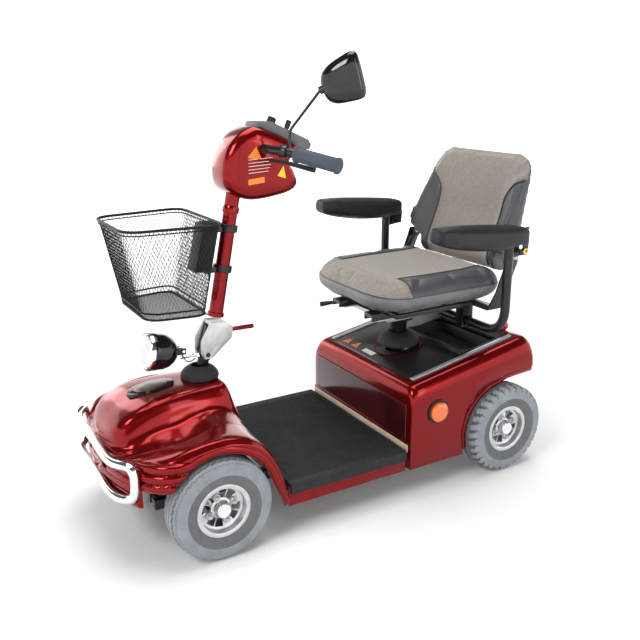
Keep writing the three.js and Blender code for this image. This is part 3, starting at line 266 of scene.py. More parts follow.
def spline(points, steps=6, closed=False):
    """More points on the smooth curve through the given ones."""
    p = [Vector(q) for q in points]
    n = len(p)
    made = []
    for i in range(n if closed else n - 1):
        a, b, c, d = (p[(i + k) % n] if closed else p[min(max(i + k, 0), n - 1)] for k in (-1, 0, 1, 2))
        for k in range(steps):
            t = k / steps
            made.append(0.5 * (2 * b + (c - a) * t + (2 * a - 5 * b + 4 * c - d) * t * t
                               + (3 * b - a - 3 * c + d) * t ** 3))
    if not closed:
        made.append(p[-1].copy())
    return made


def across(direction, hint=Vector((0, 0, 1))):
    """Two unit vectors square to a direction."""
    if abs(direction.normalized().dot(hint)) > 0.95:
        hint = Vector((0, 1, 0))
    u = direction.cross(hint).normalized()
    return u, direction.cross(u).normalized()


def tube(name, points, radius, look, sides=24, closed=False):
    """A round bar along a line of points. The radius may change from point to point."""
    p = [Vector(q) for q in points]
    count = len(p)
    radii = radius if hasattr(radius, "__len__") else [radius] * count
    rings = []
    u = None
    for i, here in enumerate(p):
        ahead = p[(i + 1) % count] if closed or i < count - 1 else here
        behind = p[i - 1] if closed or i > 0 else here
        along = (ahead - behind).normalized()
        u = across(along)[0] if u is None else (u - along * u.dot(along)).normalized()
        v = along.cross(u)
        rings.append([here + (u * math.cos(t) + v * math.sin(t)) * radii[i]
                      for t in (2 * math.pi * k / sides for k in range(sides))])
    if closed:
        made = loft(name, rings + [rings[0]], look, caps=False)
        return outwards(made)
    return loft(name, rings, look)


def rounded(points, radius, steps=8):
    """A line through the points with its corners rounded."""
    p = [Vector(q) for q in points]
    made = [p[0]]
    for i in range(1, len(p) - 1):
        a = p[i] + (p[i - 1] - p[i]).normalized() * radius
        b = p[i] + (p[i + 1] - p[i]).normalized() * radius
        made += [a.lerp(p[i], t).lerp(p[i].lerp(b, t), t) for t in (k / steps for k in range(steps + 1))]
    return made + [p[-1]]


def lathe(name, profile, start, end, look, segments=64):
    """A turned shape: profile is (distance along the axis from start towards end, radius) pairs."""
    axis = (Vector(end) - Vector(start)).normalized()
    u, v = across(axis)
    rings = []
    for along, radius in profile:
        centre = Vector(start) + axis * along
        r = max(radius, 0.05)
        rings.append([centre + (u * math.cos(t) + v * math.sin(t)) * r
                      for t in (2 * math.pi * k / segments for k in range(segments))])
    if len(profile) > 2 and profile[0][1] > 1 and profile[-1][1] > 1:
        return loft(name, rings + [rings[0]], look, caps=False)
    return loft(name, rings, look)


def lean(a, b, t):
    return Vector(a).lerp(Vector(b), t)


def refine(node, slot, width=1.0, angle=40, look=None, segments=2):
    """The CAD node's own shape with its edges rounded, for small hard parts."""
    made = bpy.data.objects.new(node + "_detail", nodes[node].data.copy())
    scene.collection.objects.link(made)
    made.data.materials.clear()
    made.data.materials.append(look or MATERIALS[slot])
    work = bmesh.new()
    work.from_mesh(made.data)
    bmesh.ops.remove_doubles(work, verts=work.verts, dist=1e-5)
    bmesh.ops.dissolve_limit(work, angle_limit=math.radians(1), verts=work.verts, edges=work.edges)
    for face in work.faces:
        face.material_index = 0
    work.to_mesh(made.data)
    work.free()
    bevel(made, width, segments, angle)
    return ride(made, BODY_OF[node], [node], angle)


def join(name, pieces):
    """One object from several meshes that ride together."""
    mesh = bpy.data.meshes.new(name)
    work = bmesh.new()
    looks = []
    for piece in pieces:
        start = len(work.faces)
        work.from_mesh(piece.data)
        work.faces.ensure_lookup_table()
        for face in work.faces[start:]:
            look = piece.data.materials[min(face.material_index, len(piece.data.materials) - 1)]
            if look not in looks:
                looks.append(look)
            face.material_index = looks.index(look)
    work.to_mesh(mesh)
    work.free()
    for look in looks:
        mesh.materials.append(look)
    made = bpy.data.objects.new(name, mesh)
    scene.collection.objects.link(made)
    for piece in pieces:
        bpy.data.objects.remove(piece)
    return made


def stuff(obj, voxel, cap, pressure=4.0):
    """Swells a pad as stuffed cloth, no point moving further than the cap, and leaves a plain smooth mesh."""
    grid = obj.modifiers.new("grid", "REMESH")
    grid.mode = "VOXEL"
    grid.voxel_size = voxel * MM
    bake(obj)
    soften = obj.modifiers.new("soften", "SMOOTH")
    soften.factor = 0.5
    soften.iterations = 8
    bake(obj)
    start = [v.co.copy() for v in obj.data.vertices]
    cloth = obj.modifiers.new("cloth", "CLOTH")
    cloth.settings.use_pressure = True
    cloth.settings.uniform_pressure_force = pressure
    cloth.settings.effector_weights.gravity = 0
    cloth.settings.quality = 5
    cloth.point_cache.frame_start = 1
    cloth.point_cache.frame_end = 20
    for number in range(1, 21):
        scene.frame_set(number)
    graph = bpy.context.evaluated_depsgraph_get()
    swollen = obj.evaluated_get(graph).to_mesh()
    moved = [v.co.copy() for v in swollen.vertices]
    obj.evaluated_get(graph).to_mesh_clear()
    obj.modifiers.clear()
    for vertex, a, b in zip(obj.data.vertices, start, moved):
        step = b - a
        vertex.co = a + step * min(1.0, cap * MM / max(step.length, 1e-9))
    scene.frame_set(1)
    settle = obj.modifiers.new("settle", "SMOOTH")
    settle.iterations = 3
    bake(obj)
    return obj


def two_tone_and_painted_shade(obj, inside, inner_look):
    """Gives the faces that pass the test a second material: the centre fabric inside the seat's seams, and the painted
    groove shade on the tyres.
    """
    obj.data.materials.append(inner_look)
    for face in obj.data.polygons:
        if inside(face.center / MM, face.normal):
            face.material_index = 1

SLOT_OF = {part["node"]: part["material_slot"] for part in frame["record"]["subparts"]}
AXLE_Z = 129.4
FRONT_AXLE_Y = -391
REAR_AXLE_Y = 499


# ---------- front shroud ----------
# y, half-width, fender height, hood half-width, hood height, from nose to rear
STATIONS = (
    (-598, 90, 236, 60, 285), (-588, 144, 246, 84, 308), (-566, 198, 260, 98, 330), (-536, 238, 270, 102, 348),
    (-500, 256, 282, 100, 360), (-461, 260, 294, 96, 366), (-415, 261, 301, 90, 369), (-360, 261, 302, 84, 369),
    (-310, 261, 290, 80, 367), (-284, 260, 273, 78, 363), (-266, 259, 256, 77, 312), (-250, 258, 237, 76, 264),
    (-228, 257, 194, 74, 204), (-212, 256, 142, 72, 150),
)
SKIRT_Z = 76
RIB_LOW, RIB_PITCH, RIB_COUNT, RIB_STEP = 152, 24, 5, 8.5


def station(y):
    """Half-width, fender height, hood half-width and hood height at y, read between the stations."""
    for i, (a, b) in enumerate(zip(STATIONS, STATIONS[1:])):
        if y <= b[0]:
            t = (y - a[0]) / (b[0] - a[0])
            before, after = STATIONS[max(i - 1, 0)], STATIONS[min(i + 2, len(STATIONS) - 1)]
            values = []
            for k in range(1, 5):
                rise_a = (b[k] - before[k]) / (b[0] - before[0]) * (b[0] - a[0])
                rise_b = (after[k] - a[k]) / (after[0] - a[0]) * (b[0] - a[0])
                values.append((2 * t ** 3 - 3 * t * t + 1) * a[k] + (t ** 3 - 2 * t * t + t) * rise_a
                              + (3 * t * t - 2 * t ** 3) * b[k] + (t ** 3 - t * t) * rise_b)
            return values
    return list(STATIONS[-1][1:])


def shroud_half(y, inset=0.0):
    """One side of the shroud's cross-section at y, as (x, z), from the skirt to the middle of the hood."""
    half, fender, hood, top = station(y)
    half, fender, top = half - inset, fender - inset, top - inset
    dip = 20 * math.exp(-((y + 430) / 62) ** 2)
    middle = (half + hood) / 2
    rough = [(half, SKIRT_Z), (half, (SKIRT_Z + fender) / 2), (half, fender - 30), (half - 5, fender - 10),
             (half - 22, fender), (middle + 12, fender + 2 - dip * 0.7), (middle - 14, fender + 4 - dip),
             (hood + 22, fender + 0.22 * (top - fender) - dip * 0.5), (hood + 6, fender + 0.62 * (top - fender)),
             (hood - 10, top - 6), (hood * 0.55, top - 0.5), (0, top)]
    return [(q.x, max(q.z, SKIRT_Z)) for q in spline([(x, 0, z) for x, z in rough], 16)]


def shroud_ring(y, inset=0.0):
    right = shroud_half(y, inset)
    left = [(-x, z) for x, z in reversed(right[:-1])]
    return [(x, y, z) for x, z in right + left]


def arch_line(axle_y, radius, start, end, steps=40):
    turn = [start + (end - start) * k / steps for k in range(steps + 1)]
    return [(axle_y + radius * math.cos(t), AXLE_Z + radius * math.sin(t)) for t in turn]


front_arch = arch_line(FRONT_AXLE_Y, 141, math.pi * 0.1, math.pi * 0.84)
front_opening = front_arch + [(-528, 170), (-530, 20), (-215, 20), (-219, 88), (-241, 140)]
ys = [STATIONS[0][0] + (STATIONS[-1][0] - STATIONS[0][0]) * k / 130 for k in range(131)]
NOSE_FACE = ((0.03, 7), (0.25, 6.6), (0.5, 5.5), (0.75, 3.5))
face_rings = [[(x * share, y - ahead, z) for x, y, z in shroud_ring(ys[0])] for share, ahead in NOSE_FACE]
shroud = loft("front_shroud_shell", face_rings + [shroud_ring(y) for y in ys], RED)
ease = shroud.modifiers.new("ease", "SMOOTH")
ease.iterations = 14
bake(shroud)


def add_ribs(obj):
    """Raises rounded bands, one over the other, round the nose and the front of each fender."""
    moved = []
    for vertex in obj.data.vertices:
        place, normal = vertex.co / MM, vertex.normal
        share = (place.z - RIB_LOW) / RIB_PITCH
        if 0 <= share < RIB_COUNT and place.y < -440:
            fade = min(1, (-440 - place.y) / 50) * max(0, min(1, (0.93 - abs(normal.z)) / 0.28))
            band = 1 - abs(2 * (share % 1) - 1) ** 2.8
            moved.append((vertex, normal.copy() * fade * band * RIB_STEP * MM))
    for vertex, shift in moved:
        vertex.co += shift


add_ribs(shroud)
inner = loft("shroud_hollow", [[(x, y, z - 20 if z < 90 else z) for x, y, z in shroud_ring(y, 9)]
                               for y in [ys[0] + 12] + ys[8:-3:4] + [ys[-1] - 4]], RED)
tools = []
for _, s in SIDES:
    tools.append(prism("arch_tool", front_opening, 150 * s, 320 * s, RED))
for _, s in SIDES:
    tools.append(box("nose_side_tool", sorted((s * 197, s * 320)), (-640, -506), (20, 201), RED))
tools.append(box("nose_tool", (-240, 240), (-640, -546), (20, 152), RED))
carve(shroud, tools)
tools = [box("deck_tool", (-236, 236), (-246, -180), (50, 142), RED)]
tools.append(lathe("boot_tool", [(0, 30), (160, 30)], (0, -358, 290), (0, -304, 478), RED))
for _, s in SIDES:
    tools.append(box("horn_tool", sorted((s * 46, s * 74)), (-640, -560), (202, 240), RED))
carve(shroud, tools, "FAST")
carve(shroud, [inner])
ride(shroud, "chassis", ["front_shroud"], 40)


def arch_lip(name, line, x_at, out, wide, body, look):
    """The raised band round a wheel arch: a rounded bar section swept along the opening's edge."""
    rings = []
    count = len(line)
    for i, (y, z) in enumerate(line):
        ahead, behind = line[min(i + 1, count - 1)], line[max(i - 1, 0)]
        along = Vector((0, ahead[0] - behind[0], ahead[1] - behind[1])).normalized()
        away = Vector((0, along.z, -along.y)) * out
        x = x_at(y)
        s = 1 if x > 0 else -1
        base = Vector((0, y, z))
        section = [(-14, 1), (2, 1), (5, 4), (5, wide - 3), (2, wide + 4), (-4, wide + 6), (-14, wide)]
        rings.append([base + away * w + Vector((x + s * d, 0, 0)) for d, w in section])
    made = loft(name, rings, look)
    bevel(made, 1.6, 3, 30)
    return ride(made, body, (), 45)


lip_line = arch_line(FRONT_AXLE_Y, 141.5, math.pi * 0.79, math.pi * 0.1) + \
    [(-242, 140), (-229, 110), (-221, 86)]
for side, s in SIDES:
    arch_lip(f"fender_lip_{side}", lip_line, lambda y, s=s: s * (station(y)[0] - 2), -1, 13, "chassis", RED)


def oval(name, half_x, half_y, low, high, look):
    """A domed oval plate lying on the sloping top of the hood."""
    rings = []
    for share, height in ((1, low), (1, high - 1.5), (0.94, high - 0.4), (0.5, high), (0.02, high + 0.3)):
        rings.append([(half_x * share * math.cos(t), -462 + half_y * share * math.sin(t),
                       366 + 0.1 * half_y * share * math.sin(t) + height)
                      for t in (2 * math.pi * k / 48 for k in range(48))])
    return ride(loft(name, rings, look), "chassis")


oval("nose_badge", 38, 62, -9, 3, GLOSS_BLACK)
oval("nose_badge_inlay", 27, 44, 1, 3.8, material("badge_inlay", (0.10, 0.05, 0.015), 0.3, 0.4, 0.4, mottle=(60, 0.9)))

# ---------- rear body ----------
BODY_HALF = 257
TOP_FRONT_Y, TOP_FRONT_Z = 200, 318
TOP_RISE = 61 / 333


def top_z(y):
    return TOP_FRONT_Z + (y - TOP_FRONT_Y) * TOP_RISE


def body_ring(y, drop=0.0, inset=0.0, low=76):
    """The rear body's section: upright sides and a rounded shoulder under the flat top."""
    half, top = BODY_HALF - inset, top_z(y) - inset - drop
    corner = [(half - 34 + 34 * math.cos(t), top - 44 + 44 * math.sin(t))
              for t in (math.pi / 2 * k / 9 for k in range(10))]
    right = [(half, low), (half, 150), (half, 230)] + corner + [(120, top)]
    return [(x, y, z) for x, z in right] + [(-x, y, z) for x, z in reversed(right)]


brow = [(168 + 26 * (1 - math.cos(t)), 30 * (1 - math.sin(t))) for t in (math.pi / 2 * k / 6 for k in range(7))]
tail = [(606 - 34 * (1 - math.cos(t)), 44 * (1 - math.sin(t))) for t in (math.pi / 2 * k / 6 for k in range(7))]
rows = brow + [(y, 0) for y in range(220, 561, 20)] + tail[::-1]
shell = loft("rear_body_shell", [body_ring(y, drop) for y, drop in rows], RED)
rear_arch = arch_line(REAR_AXLE_Y, 150, math.pi * 1.08, math.pi * 0.56)
rear_opening = rear_arch + [(509, 290), (626, 296), (626, 20), (353, 20)]
tools = [loft("body_hollow", [body_ring(y, d, 6, 40) for y, d in ((176, 14), (200, 2), (560, 2), (598, 30))], RED)]
for _, s in SIDES:
    tools.append(prism("rear_arch_tool", rear_opening, 176 * s, 320 * s, RED))
tools.append(box("tail_tool", (-180, 180), (539, 626), (20, 296), RED))
lid_line = [(200, top_z(200) - 9), (560, top_z(560) - 9), (560, top_z(560) + 50), (200, top_z(200) + 50)]
tools.append(prism("lid_tool", lid_line, -214, 214, RED))
tools.append(box("lid_hole_tool", (-200, 200), (214, 546), (300, 430), RED))
tools.append(box("slot_tool", (154, 170), (558, 598), (336, 430), RED))
tools.append(box("rail_tool", (-108, 108), (160, 188), (60, 112), RED))
carve(shell, tools)
bevel(shell, 1.5, 2, 40)
ride(shell, "chassis", ["rear_body"], 40)
rear_lip = [(353, 90)] + arch_line(REAR_AXLE_Y, 150, math.pi * 1.05, math.pi * 0.56) + [(508, 291), (604, 297)]
for side, s in SIDES:
    arch_lip(f"rear_arch_lip_{side}", rear_lip, lambda y, s=s: s * (BODY_HALF - 5), 1, 12, "chassis", RED)
    liner = arch_line(REAR_AXLE_Y, 149, math.pi * 1.05, math.pi * 0.5)
    outline = liner + [(y + (REAR_AXLE_Y - y) * 0.02, z - 3 * (z > AXLE_Z)) for y, z in reversed(liner)]
    ride(prism(f"wheelhouse_{side}", outline, *sorted((s * 178, s * 250)), MATERIALS["black_plastic"]),
         "chassis")

kick = box("kick_panel", (-240, 236), (163.5, 167.8), (84, 262), SMOKED, 2.0)
ride(kick, "chassis")
trim = box("cream_sill", (-251, 251), (159.5, 163.3), (128, 150), CREAM, 1.5)
ride(trim, "chassis")
strip = box("red_sill", (-251, 251), (160.5, 163.2), (151, 158), RED, 1.2)
ride(strip, "chassis")
for side, s in SIDES:
    line = [(203, top_z(203) - 1), (557, top_z(557) - 1), (557, top_z(557) + 2.6), (203, top_z(203) + 2.6)]
    edge = prism(f"lid_trim_{side}", line, *sorted((s * 199, s * 212.5)), MATERIALS["wheel_silver"], 1.2)
    ride(edge, "chassis")


def on_lid(name, outline, look, lift=0.5):
    """A thin sticker lying on the sloping lid: outline is (x, y) pairs."""
    rings = [[(x, y, top_z(y) + lift + k * 0.4) for x, y in outline] for k in (0, 1)]
    return ride(loft(name, rings, look), "chassis")


for k, x in enumerate((-150, -104)):
    on_lid(f"lid_triangle_{k}", [(x - 17, 214), (x + 17, 214), (x, 243)], ORANGE)
on_lid("lid_label", [(-60, 214), (-6, 214), (-6, 232), (-60, 232)], WHITE)
pillar_ring = lathe("pillar_ring", [(0, 66), (1.4, 66), (1.6, 72), (0, 72)],
                    (0, 305, top_z(305) + 0.4), (0, 305 - 18.3, top_z(305) + 100), RED)
ride(pillar_ring, "chassis")
for side, s in SIDES:
    base = lathe(f"reflector_base_{side}", [(0, 0), (0, 35), (3, 35), (4.5, 32), (4.5, 29.5), (0.5, 29.5), (0.5, 0)],
                 (s * 257, 258, 231), (s * 300, 258, 231), MATERIALS["black_plastic"])
    ride(base, "chassis")
    lens = lathe(f"reflector_lens_{side}", [(0, 0), (0, 28), (9, 28), (13, 25), (15, 19), (16, 9), (16.2, 0)],
                 (s * 257.5, 258, 231), (s * 300, 258, 231), MATERIALS["amber_lens"])
    ride(lens, "chassis", [f"reflector_{side}"])

# ---------- deck mat ----------
MAT_TOP = 138
mat_line = []
for k in range(49):
    x = -234 + 9.6 * k
    mat_line += [(x, MAT_TOP - 1.4), (x + 1.8, MAT_TOP + 1.2), (x + 5.4, MAT_TOP + 1.2), (x + 7.2, MAT_TOP - 1.4)]
mat_line = [(-251, 128.4), (-251, MAT_TOP), (-238, MAT_TOP)] + mat_line + [(240, MAT_TOP), (251, MAT_TOP), (251, 128.4)]
mat = loft("deck_mat", [[(x, y, z) for x, z in mat_line] for y in (-202, 154)], MATERIALS["rubber"])
edges = [box("mat_edge", sorted((s * 250.6, s * 260)), (-202, 154), (108, 139), MATERIALS["rubber"], 3.4, 4)
         for _, s in SIDES]
mat = join("floor_mat_ribbed", [mat] + edges)
ride(mat, "chassis", ["floor_mat"], 40)

# ---------- bumper ----------
BUMPER_Y = -(REAR_AXLE_Y + AXLE_Z) + 12.5
half_loop = [(140, BUMPER_Y, 264), (200, BUMPER_Y + 30, 262), (208, BUMPER_Y + 36, 222),
             (196, BUMPER_Y + 28, 182), (136, BUMPER_Y, 176)]
loop = half_loop + [(0, BUMPER_Y, 176)] + [(-x, y, z) for x, y, z in reversed(half_loop)] + [(0, BUMPER_Y, 264)]
ride(tube("bumper_loop", spline(loop, 12, True), 11, MATERIALS["chrome"], 28, True), "chassis",
     ["bumper_bar"])

# ---------- wheels ----------
TREAD_BLOCKS = {"front": 44, "rear": 32}
TYRE_R = 129.4
TYRE_W = 40


FRONT_GROOVES = (15, 16, 21, 22, 27, 28)


def tyre_piece(place, x, axle_y):
    """A fat grey tyre: side walls bulging past the rim, and tread blocks cut by sloping grooves, whose floors get a
    darker grey as painted shade.
    """
    kind = place.split("_")[0]
    half = [(24, 62), (33, 70), (38.4, 84), (40, 98), (39.4, 110), (36, 120.5), (31, 126), (24, TYRE_R - 1.2),
            (12, TYRE_R), (0, TYRE_R)]
    line = [(p.x, p.y) for p in spline([(a, b, 0) for a, b in half], 4)]
    line = line + [(-a, b) for a, b in reversed(line[:-1])]
    blocks = TREAD_BLOCKS[kind]
    around = blocks * 8
    rings = []
    for i in range(around):
        turn = 2 * math.pi * i / around
        ring = []
        for k, (a, b) in enumerate(line):
            inward = min(k, len(line) - 1 - k)
            depth = 0.0
            if kind == "front":
                if inward - (i % 8 >= 4) in FRONT_GROOVES:
                    depth = 3.2
            elif b > 106:
                phase = (i / 8 + (0.5 if a > 0 else 0.0) + abs(a) / 60) % 1
                if phase < 0.3 and abs(a) > 6 or inward - (i % 8 >= 4) == 32:
                    depth = 4.6 * min(1, (b - 106) / 8)
            r = b - depth
            ring.append((x + a, axle_y + r * math.cos(turn), AXLE_Z + r * math.sin(turn)))
        rings.append(ring)
    made = loft(f"tyre_{place}_tread", rings + [rings[0]], MATERIALS["tyre"], True, False)

    # the faces sunk in the grooves get the darker grey: painted shade
    def sunk(spot, normal):
        here = (spot.x - x, math.hypot(spot.y - axle_y, spot.z - AXLE_Z))
        return min(math.dist(here, q) for q in line) > 1.7

    two_tone_and_painted_shade(made, sunk, GROOVE_SHADE)
    return ride(outwards(made), f"wheel_{place}", [f"tyre_{place}"], 32)


def wheel_piece(place, x, axle_y, s):
    """A silver cast wheel: barrel with bright flanges, a dished web with windows, bosses and a hub cap."""
    silver = MATERIALS["wheel_silver"]
    centre = Vector((x, axle_y, AXLE_Z))
    out = Vector((s, 0, 0))
    barrel = lathe("barrel", [(-31.6, 54), (31.6, 58), (33, 61), (33.4, 66), (32.4, 68.5), (30, 69), (27.5, 67.5),
                              (26, 61.5), (-26, 61.5), (-28, 67.5), (-31, 69), (-33, 66), (-32.6, 56)],
                   centre, centre + out, silver, 96)
    pieces = [barrel]
    rings_r = [19, 23, 26.5, 31, 36, 41, 46, 50, 53, 57]
    count = 96
    points, faces = [], []
    for r in rings_r:
        for k in range(count):
            t = 2 * math.pi * k / count
            rib = max(0, math.cos(4 * t - 1.4)) ** 2
            depth = 14 - 5 * math.sin(math.pi * min(1, (r - 19) / 38)) + 2 * rib
            points.append(centre + out * depth + Vector((0, math.cos(t) * r, math.sin(t) * r)))
    for j in range(len(rings_r) - 1):
        for k in range(count):
            turn = (2 * math.pi * (k + 0.5) / count - 0.35) % (math.pi / 2)
            spoke = min(turn, math.pi / 2 - turn) < 0.3 or abs(turn - math.pi / 4) < 0.05
            if spoke or not 2 <= j <= 6:
                a, b = j * count + k, j * count + (k + 1) % count
                faces.append((a, b, b + count, a + count))
    web = new_object("web", points, faces, silver)
    thick = web.modifiers.new("thick", "SOLIDIFY")
    thick.thickness = 4.5 * MM
    thick.offset = 0
    bake(web)
    bevel(web, 0.9, 2, 40)
    pieces.append(web)
    for k in range(4):
        t = math.pi / 2 * k + 0.35
        foot = centre + Vector((0, math.cos(t) * 34, math.sin(t) * 34))
        pieces.append(lathe("boss", [(8, 11), (18, 10), (20, 8), (20, 0)], foot, foot + out, silver, 32))
        pieces.append(lathe("nut", [(19, 6.4), (25, 6.4), (26.4, 5), (26.4, 0)], foot, foot + out,
                            MATERIALS["zinc_steel"], 6))
    pieces.append(lathe("hub", [(-26, 20), (20, 21), (24, 19), (25, 0)], centre, centre + out, silver, 48))
    pieces.append(lathe("cap", [(23, 19), (30, 19), (33, 17), (34, 12), (32.5, 9), (32.5, 0)], centre, centre + out,
                        MATERIALS["chrome"], 48))
    if place.startswith("rear"):
        pieces.append(lathe("axle", [(-130, 10), (-10, 10)], centre, centre + out, silver, 32))
    made = join(f"rim_{place}_cast", pieces)
    return ride(made, f"wheel_{place}", [f"rim_{place}"], 40)


for place, x, axle_y, s in (("front_left", 241, FRONT_AXLE_Y, 1), ("front_right", -241, FRONT_AXLE_Y, -1),
                            ("rear_left", 248, REAR_AXLE_Y, 1), ("rear_right", -248, REAR_AXLE_Y, -1)):
    tyre_piece(place, x, axle_y)
    wheel_piece(place, x, axle_y, s)

# ---------- seat ----------
SEAT_AXIS_Y = 305
CUSHION_LOW, CUSHION_HIGH = 512, 590


def quad(a, b, c, steps):
    """Points from a to c on the curve that bends towards b, leaving out c."""
    a, b, c = Vector(a), Vector(b), Vector(c)
    return [a.lerp(b, t).lerp(b.lerp(c, t), t) for t in (k / steps for k in range(steps))]


def cushion_plan(half, front, rear):
    right = quad((90, front), (half, front + 8), (half, front + 110), 10) + [Vector((half, 320))]
    right += quad((half, rear - 60), (half, rear), (half - 60, rear), 6) + [Vector((half - 60, rear))]
    return [(p.x, p.y) for p in right] + [(-p.x, p.y) for p in reversed(right)]


def cushion_top(x, y):
    """Height of the cushion's upper side before it is stuffed: dished, with a raised rear and side bolsters."""
    side = max(0, (abs(x) - 130) / 90) ** 2
    rear = max(0, (y - 400) / 110) ** 2
    nose = max(0, (190 - y) / 90) ** 2
    return CUSHION_HIGH - 10 + 10 * min(1, side) + 8 * min(1, rear) - 16 * min(1, nose)


plan = cushion_plan(221, 98, 529)
rings = []
for height, share in ((0, 0.88), (10, 0.95), (26, 0.985), (44, 0.985), (60, 0.95), (70, 0.9)):
    rings.append([(x * share, SEAT_AXIS_Y + (y - SEAT_AXIS_Y) * share,
                   CUSHION_LOW + height + (cushion_top(x, y) - CUSHION_HIGH) * height / 70) for x, y in plan])
for share in (0.8, 0.6, 0.4, 0.2, 0.02):
    rings.append([(x * share, SEAT_AXIS_Y + (y - SEAT_AXIS_Y) * share,
                   cushion_top(x * share, SEAT_AXIS_Y + (y - SEAT_AXIS_Y) * share)) for x, y in plan])
cushion = loft("seat_cushion_pad", rings, MATERIALS["seat_vinyl"])
stuff(cushion, 5, 9)
cushion = subdivide(cushion, 1)


def seam_line(obj, points, away, depth=2.2, width=5.0):
    """Pulls the surface in along a sewn seam and returns the seam's points on the surface."""
    tree = BVHTree.FromObject(obj, bpy.context.evaluated_depsgraph_get())
    hits = []
    for p in points:
        start = (Vector(p) + Vector(away) * 120) * MM
        found = tree.ray_cast(start, -Vector(away))[0]
        if found is not None:
            hits.append(found)
    if hits:
        chain = BVHTree.FromPolygons(hits + [h + Vector((0, 0, 1e-5)) for h in hits],
                                     [(i, i + 1, i + 1 + len(hits)) for i in range(len(hits) - 1)])
        for vertex, normal in [(v, v.normal.copy()) for v in obj.data.vertices]:
            near = chain.find_nearest(vertex.co, 4 * width * MM)
            if near[0] is not None:
                vertex.co -= normal * depth * MM * math.exp(-(near[3] / (width * MM)) ** 2)
    return [h / MM for h in hits]


def welt(name, points, body, radius=1.9):
    """The piping sewn into a seam."""
    piece = tube(name, spline(points, 2), radius, MATERIALS["seat_vinyl"], 8)
    return ride(piece, body)


INSET_HALF = 140
SKIRT_LINE = 550
seams = []
for s in (1, -1):
    line = [(s * (INSET_HALF + 8 * math.sin((y - 196) / 320 * math.pi)), y, 600) for y in range(500, 198, -6)]
    line += [(s * x, 196, 600) for x in range(INSET_HALF, 212, 6)]
    seams.append(line)
pipings = [seam_line(cushion, line, Vector((0, 0, 1))) for line in seams]
two_tone_and_painted_shade(cushion, lambda c, n: abs(c.x) < INSET_HALF or c.y < 196, PAD_FABRIC)
cushion.data.materials.append(SKIRT)
for face in cushion.data.polygons:
    if face.center.z / MM < SKIRT_LINE:
        face.material_index = 2
hem = []
for x, y in cushion_plan(240, 80, 540):
    away = Vector((x, y - SEAT_AXIS_Y, 0)).normalized()
    hit = BVHTree.FromObject(cushion, bpy.context.evaluated_depsgraph_get()).ray_cast(
        Vector((x + away.x * 60, y + away.y * 60, SKIRT_LINE)) * MM, -away)[0]
    if hit is not None:
        hem.append(hit / MM)
ride(cushion, "seat", ["seat_cushion"], 60)
for k, piping in enumerate(pipings):
    welt(f"cushion_piping_{k}", piping, "seat", 1.3)
ride(tube("cushion_hem", spline(hem[:-1], 1, True), 2.0, MATERIALS["seat_vinyl"], 8, True), "seat")

BACK_LEAN = math.atan2(52, 290)
BACK_FOOT = Vector((0, 560, 606))
UP = Vector((0, math.sin(BACK_LEAN), math.cos(BACK_LEAN)))
FORWARD = Vector((0, -math.cos(BACK_LEAN), math.sin(BACK_LEAN)))


def back_half(up):
    """Half-width of the backrest at a height along its own plane."""
    if up < 60:
        return 170 + 44 * math.sin(math.pi / 2 * up / 60)
    if up < 225:
        return 214 - 4 * (up - 60) / 165
    return 136 + 74 * math.sqrt(max(0, 1 - ((up - 225) / 81) ** 2.6))


def back_front(x, up):
    """How far the front face stands forward of the middle plane: the sides wrap round the sitter."""
    wing = max(0, (abs(x) - 118) / 92) ** 1.5
    low = max(0, 1 - up / 120)
    return 14 + 58 * wing * (1 - max(0, min(1, (up - 120) / 150))) + 24 * low


rings = []
for k in range(21):
    up = -44 + 348 * k / 20
    half = back_half(max(0, up)) - 3
    pinch = 1 - 0.45 * (abs(k - 10) / 10) ** 8
    ring = []
    for j in range(25):
        x = half * math.sin(math.pi / 2 * (j - 12) / 12)
        ring.append(BACK_FOOT + Vector((x, 0, 0)) + UP * up + FORWARD * back_front(x, up) * pinch)
    for j in range(23, 0, -1):
        x = half * math.sin(math.pi / 2 * (j - 12) / 12)
        wing = 10 * max(0, (abs(x) - 120) / 92) ** 1.6
        ring.append(BACK_FOOT + Vector((x, 0, 0)) + UP * up - FORWARD * (10 - wing) * pinch)
    rings.append(ring)
back = loft("backrest_pad", rings, MATERIALS["seat_vinyl"])
stuff(back, 5, 8)
back = subdivide(back, 1)


def inset_edge(up):
    """Half-width of the centre fabric: it widens to the edge above the side bolsters."""
    return 140 + 72 * max(0, (up - 150) / 85) ** 2


for s in (1, -1):
    line = [BACK_FOOT + UP * up + Vector((s * inset_edge(up), 0, 0)) for up in range(-26, 232, 6)]
    piping = seam_line(back, line, FORWARD)
    welt(f"backrest_piping_{'left' if s > 0 else 'right'}", piping, "seat_back")
two_tone_and_painted_shade(back, lambda c, n: n.dot(FORWARD) > 0.1 and abs(c.x) < inset_edge((c - BACK_FOOT).dot(UP)), PAD_FABRIC)
ride(back, "seat_back", ["backrest"], 60)
for side, s in SIDES:
    arm = prism(f"backrest_arm_{side}", [(512, 612), (540, 612), (592, 704), (572, 704)], *sorted((s * 217, s * 222)),
                MATERIALS["black_steel"], 1.4)
    ride(arm, "seat_back")
    pin = lathe(f"backrest_pin_{side}", [(0, 5), (20, 5), (20.5, 9), (25, 9), (26, 7), (26, 0)],
                (s * 214, 528, 628), (s * 260, 528, 628), MATERIALS["zinc_steel"], 32)
    ride(pin, "seat_back")
ride(box("backrest_crossbar", (-218, 218), (571, 578), (672, 700), MATERIALS["black_steel"], 1.2), "seat_back")

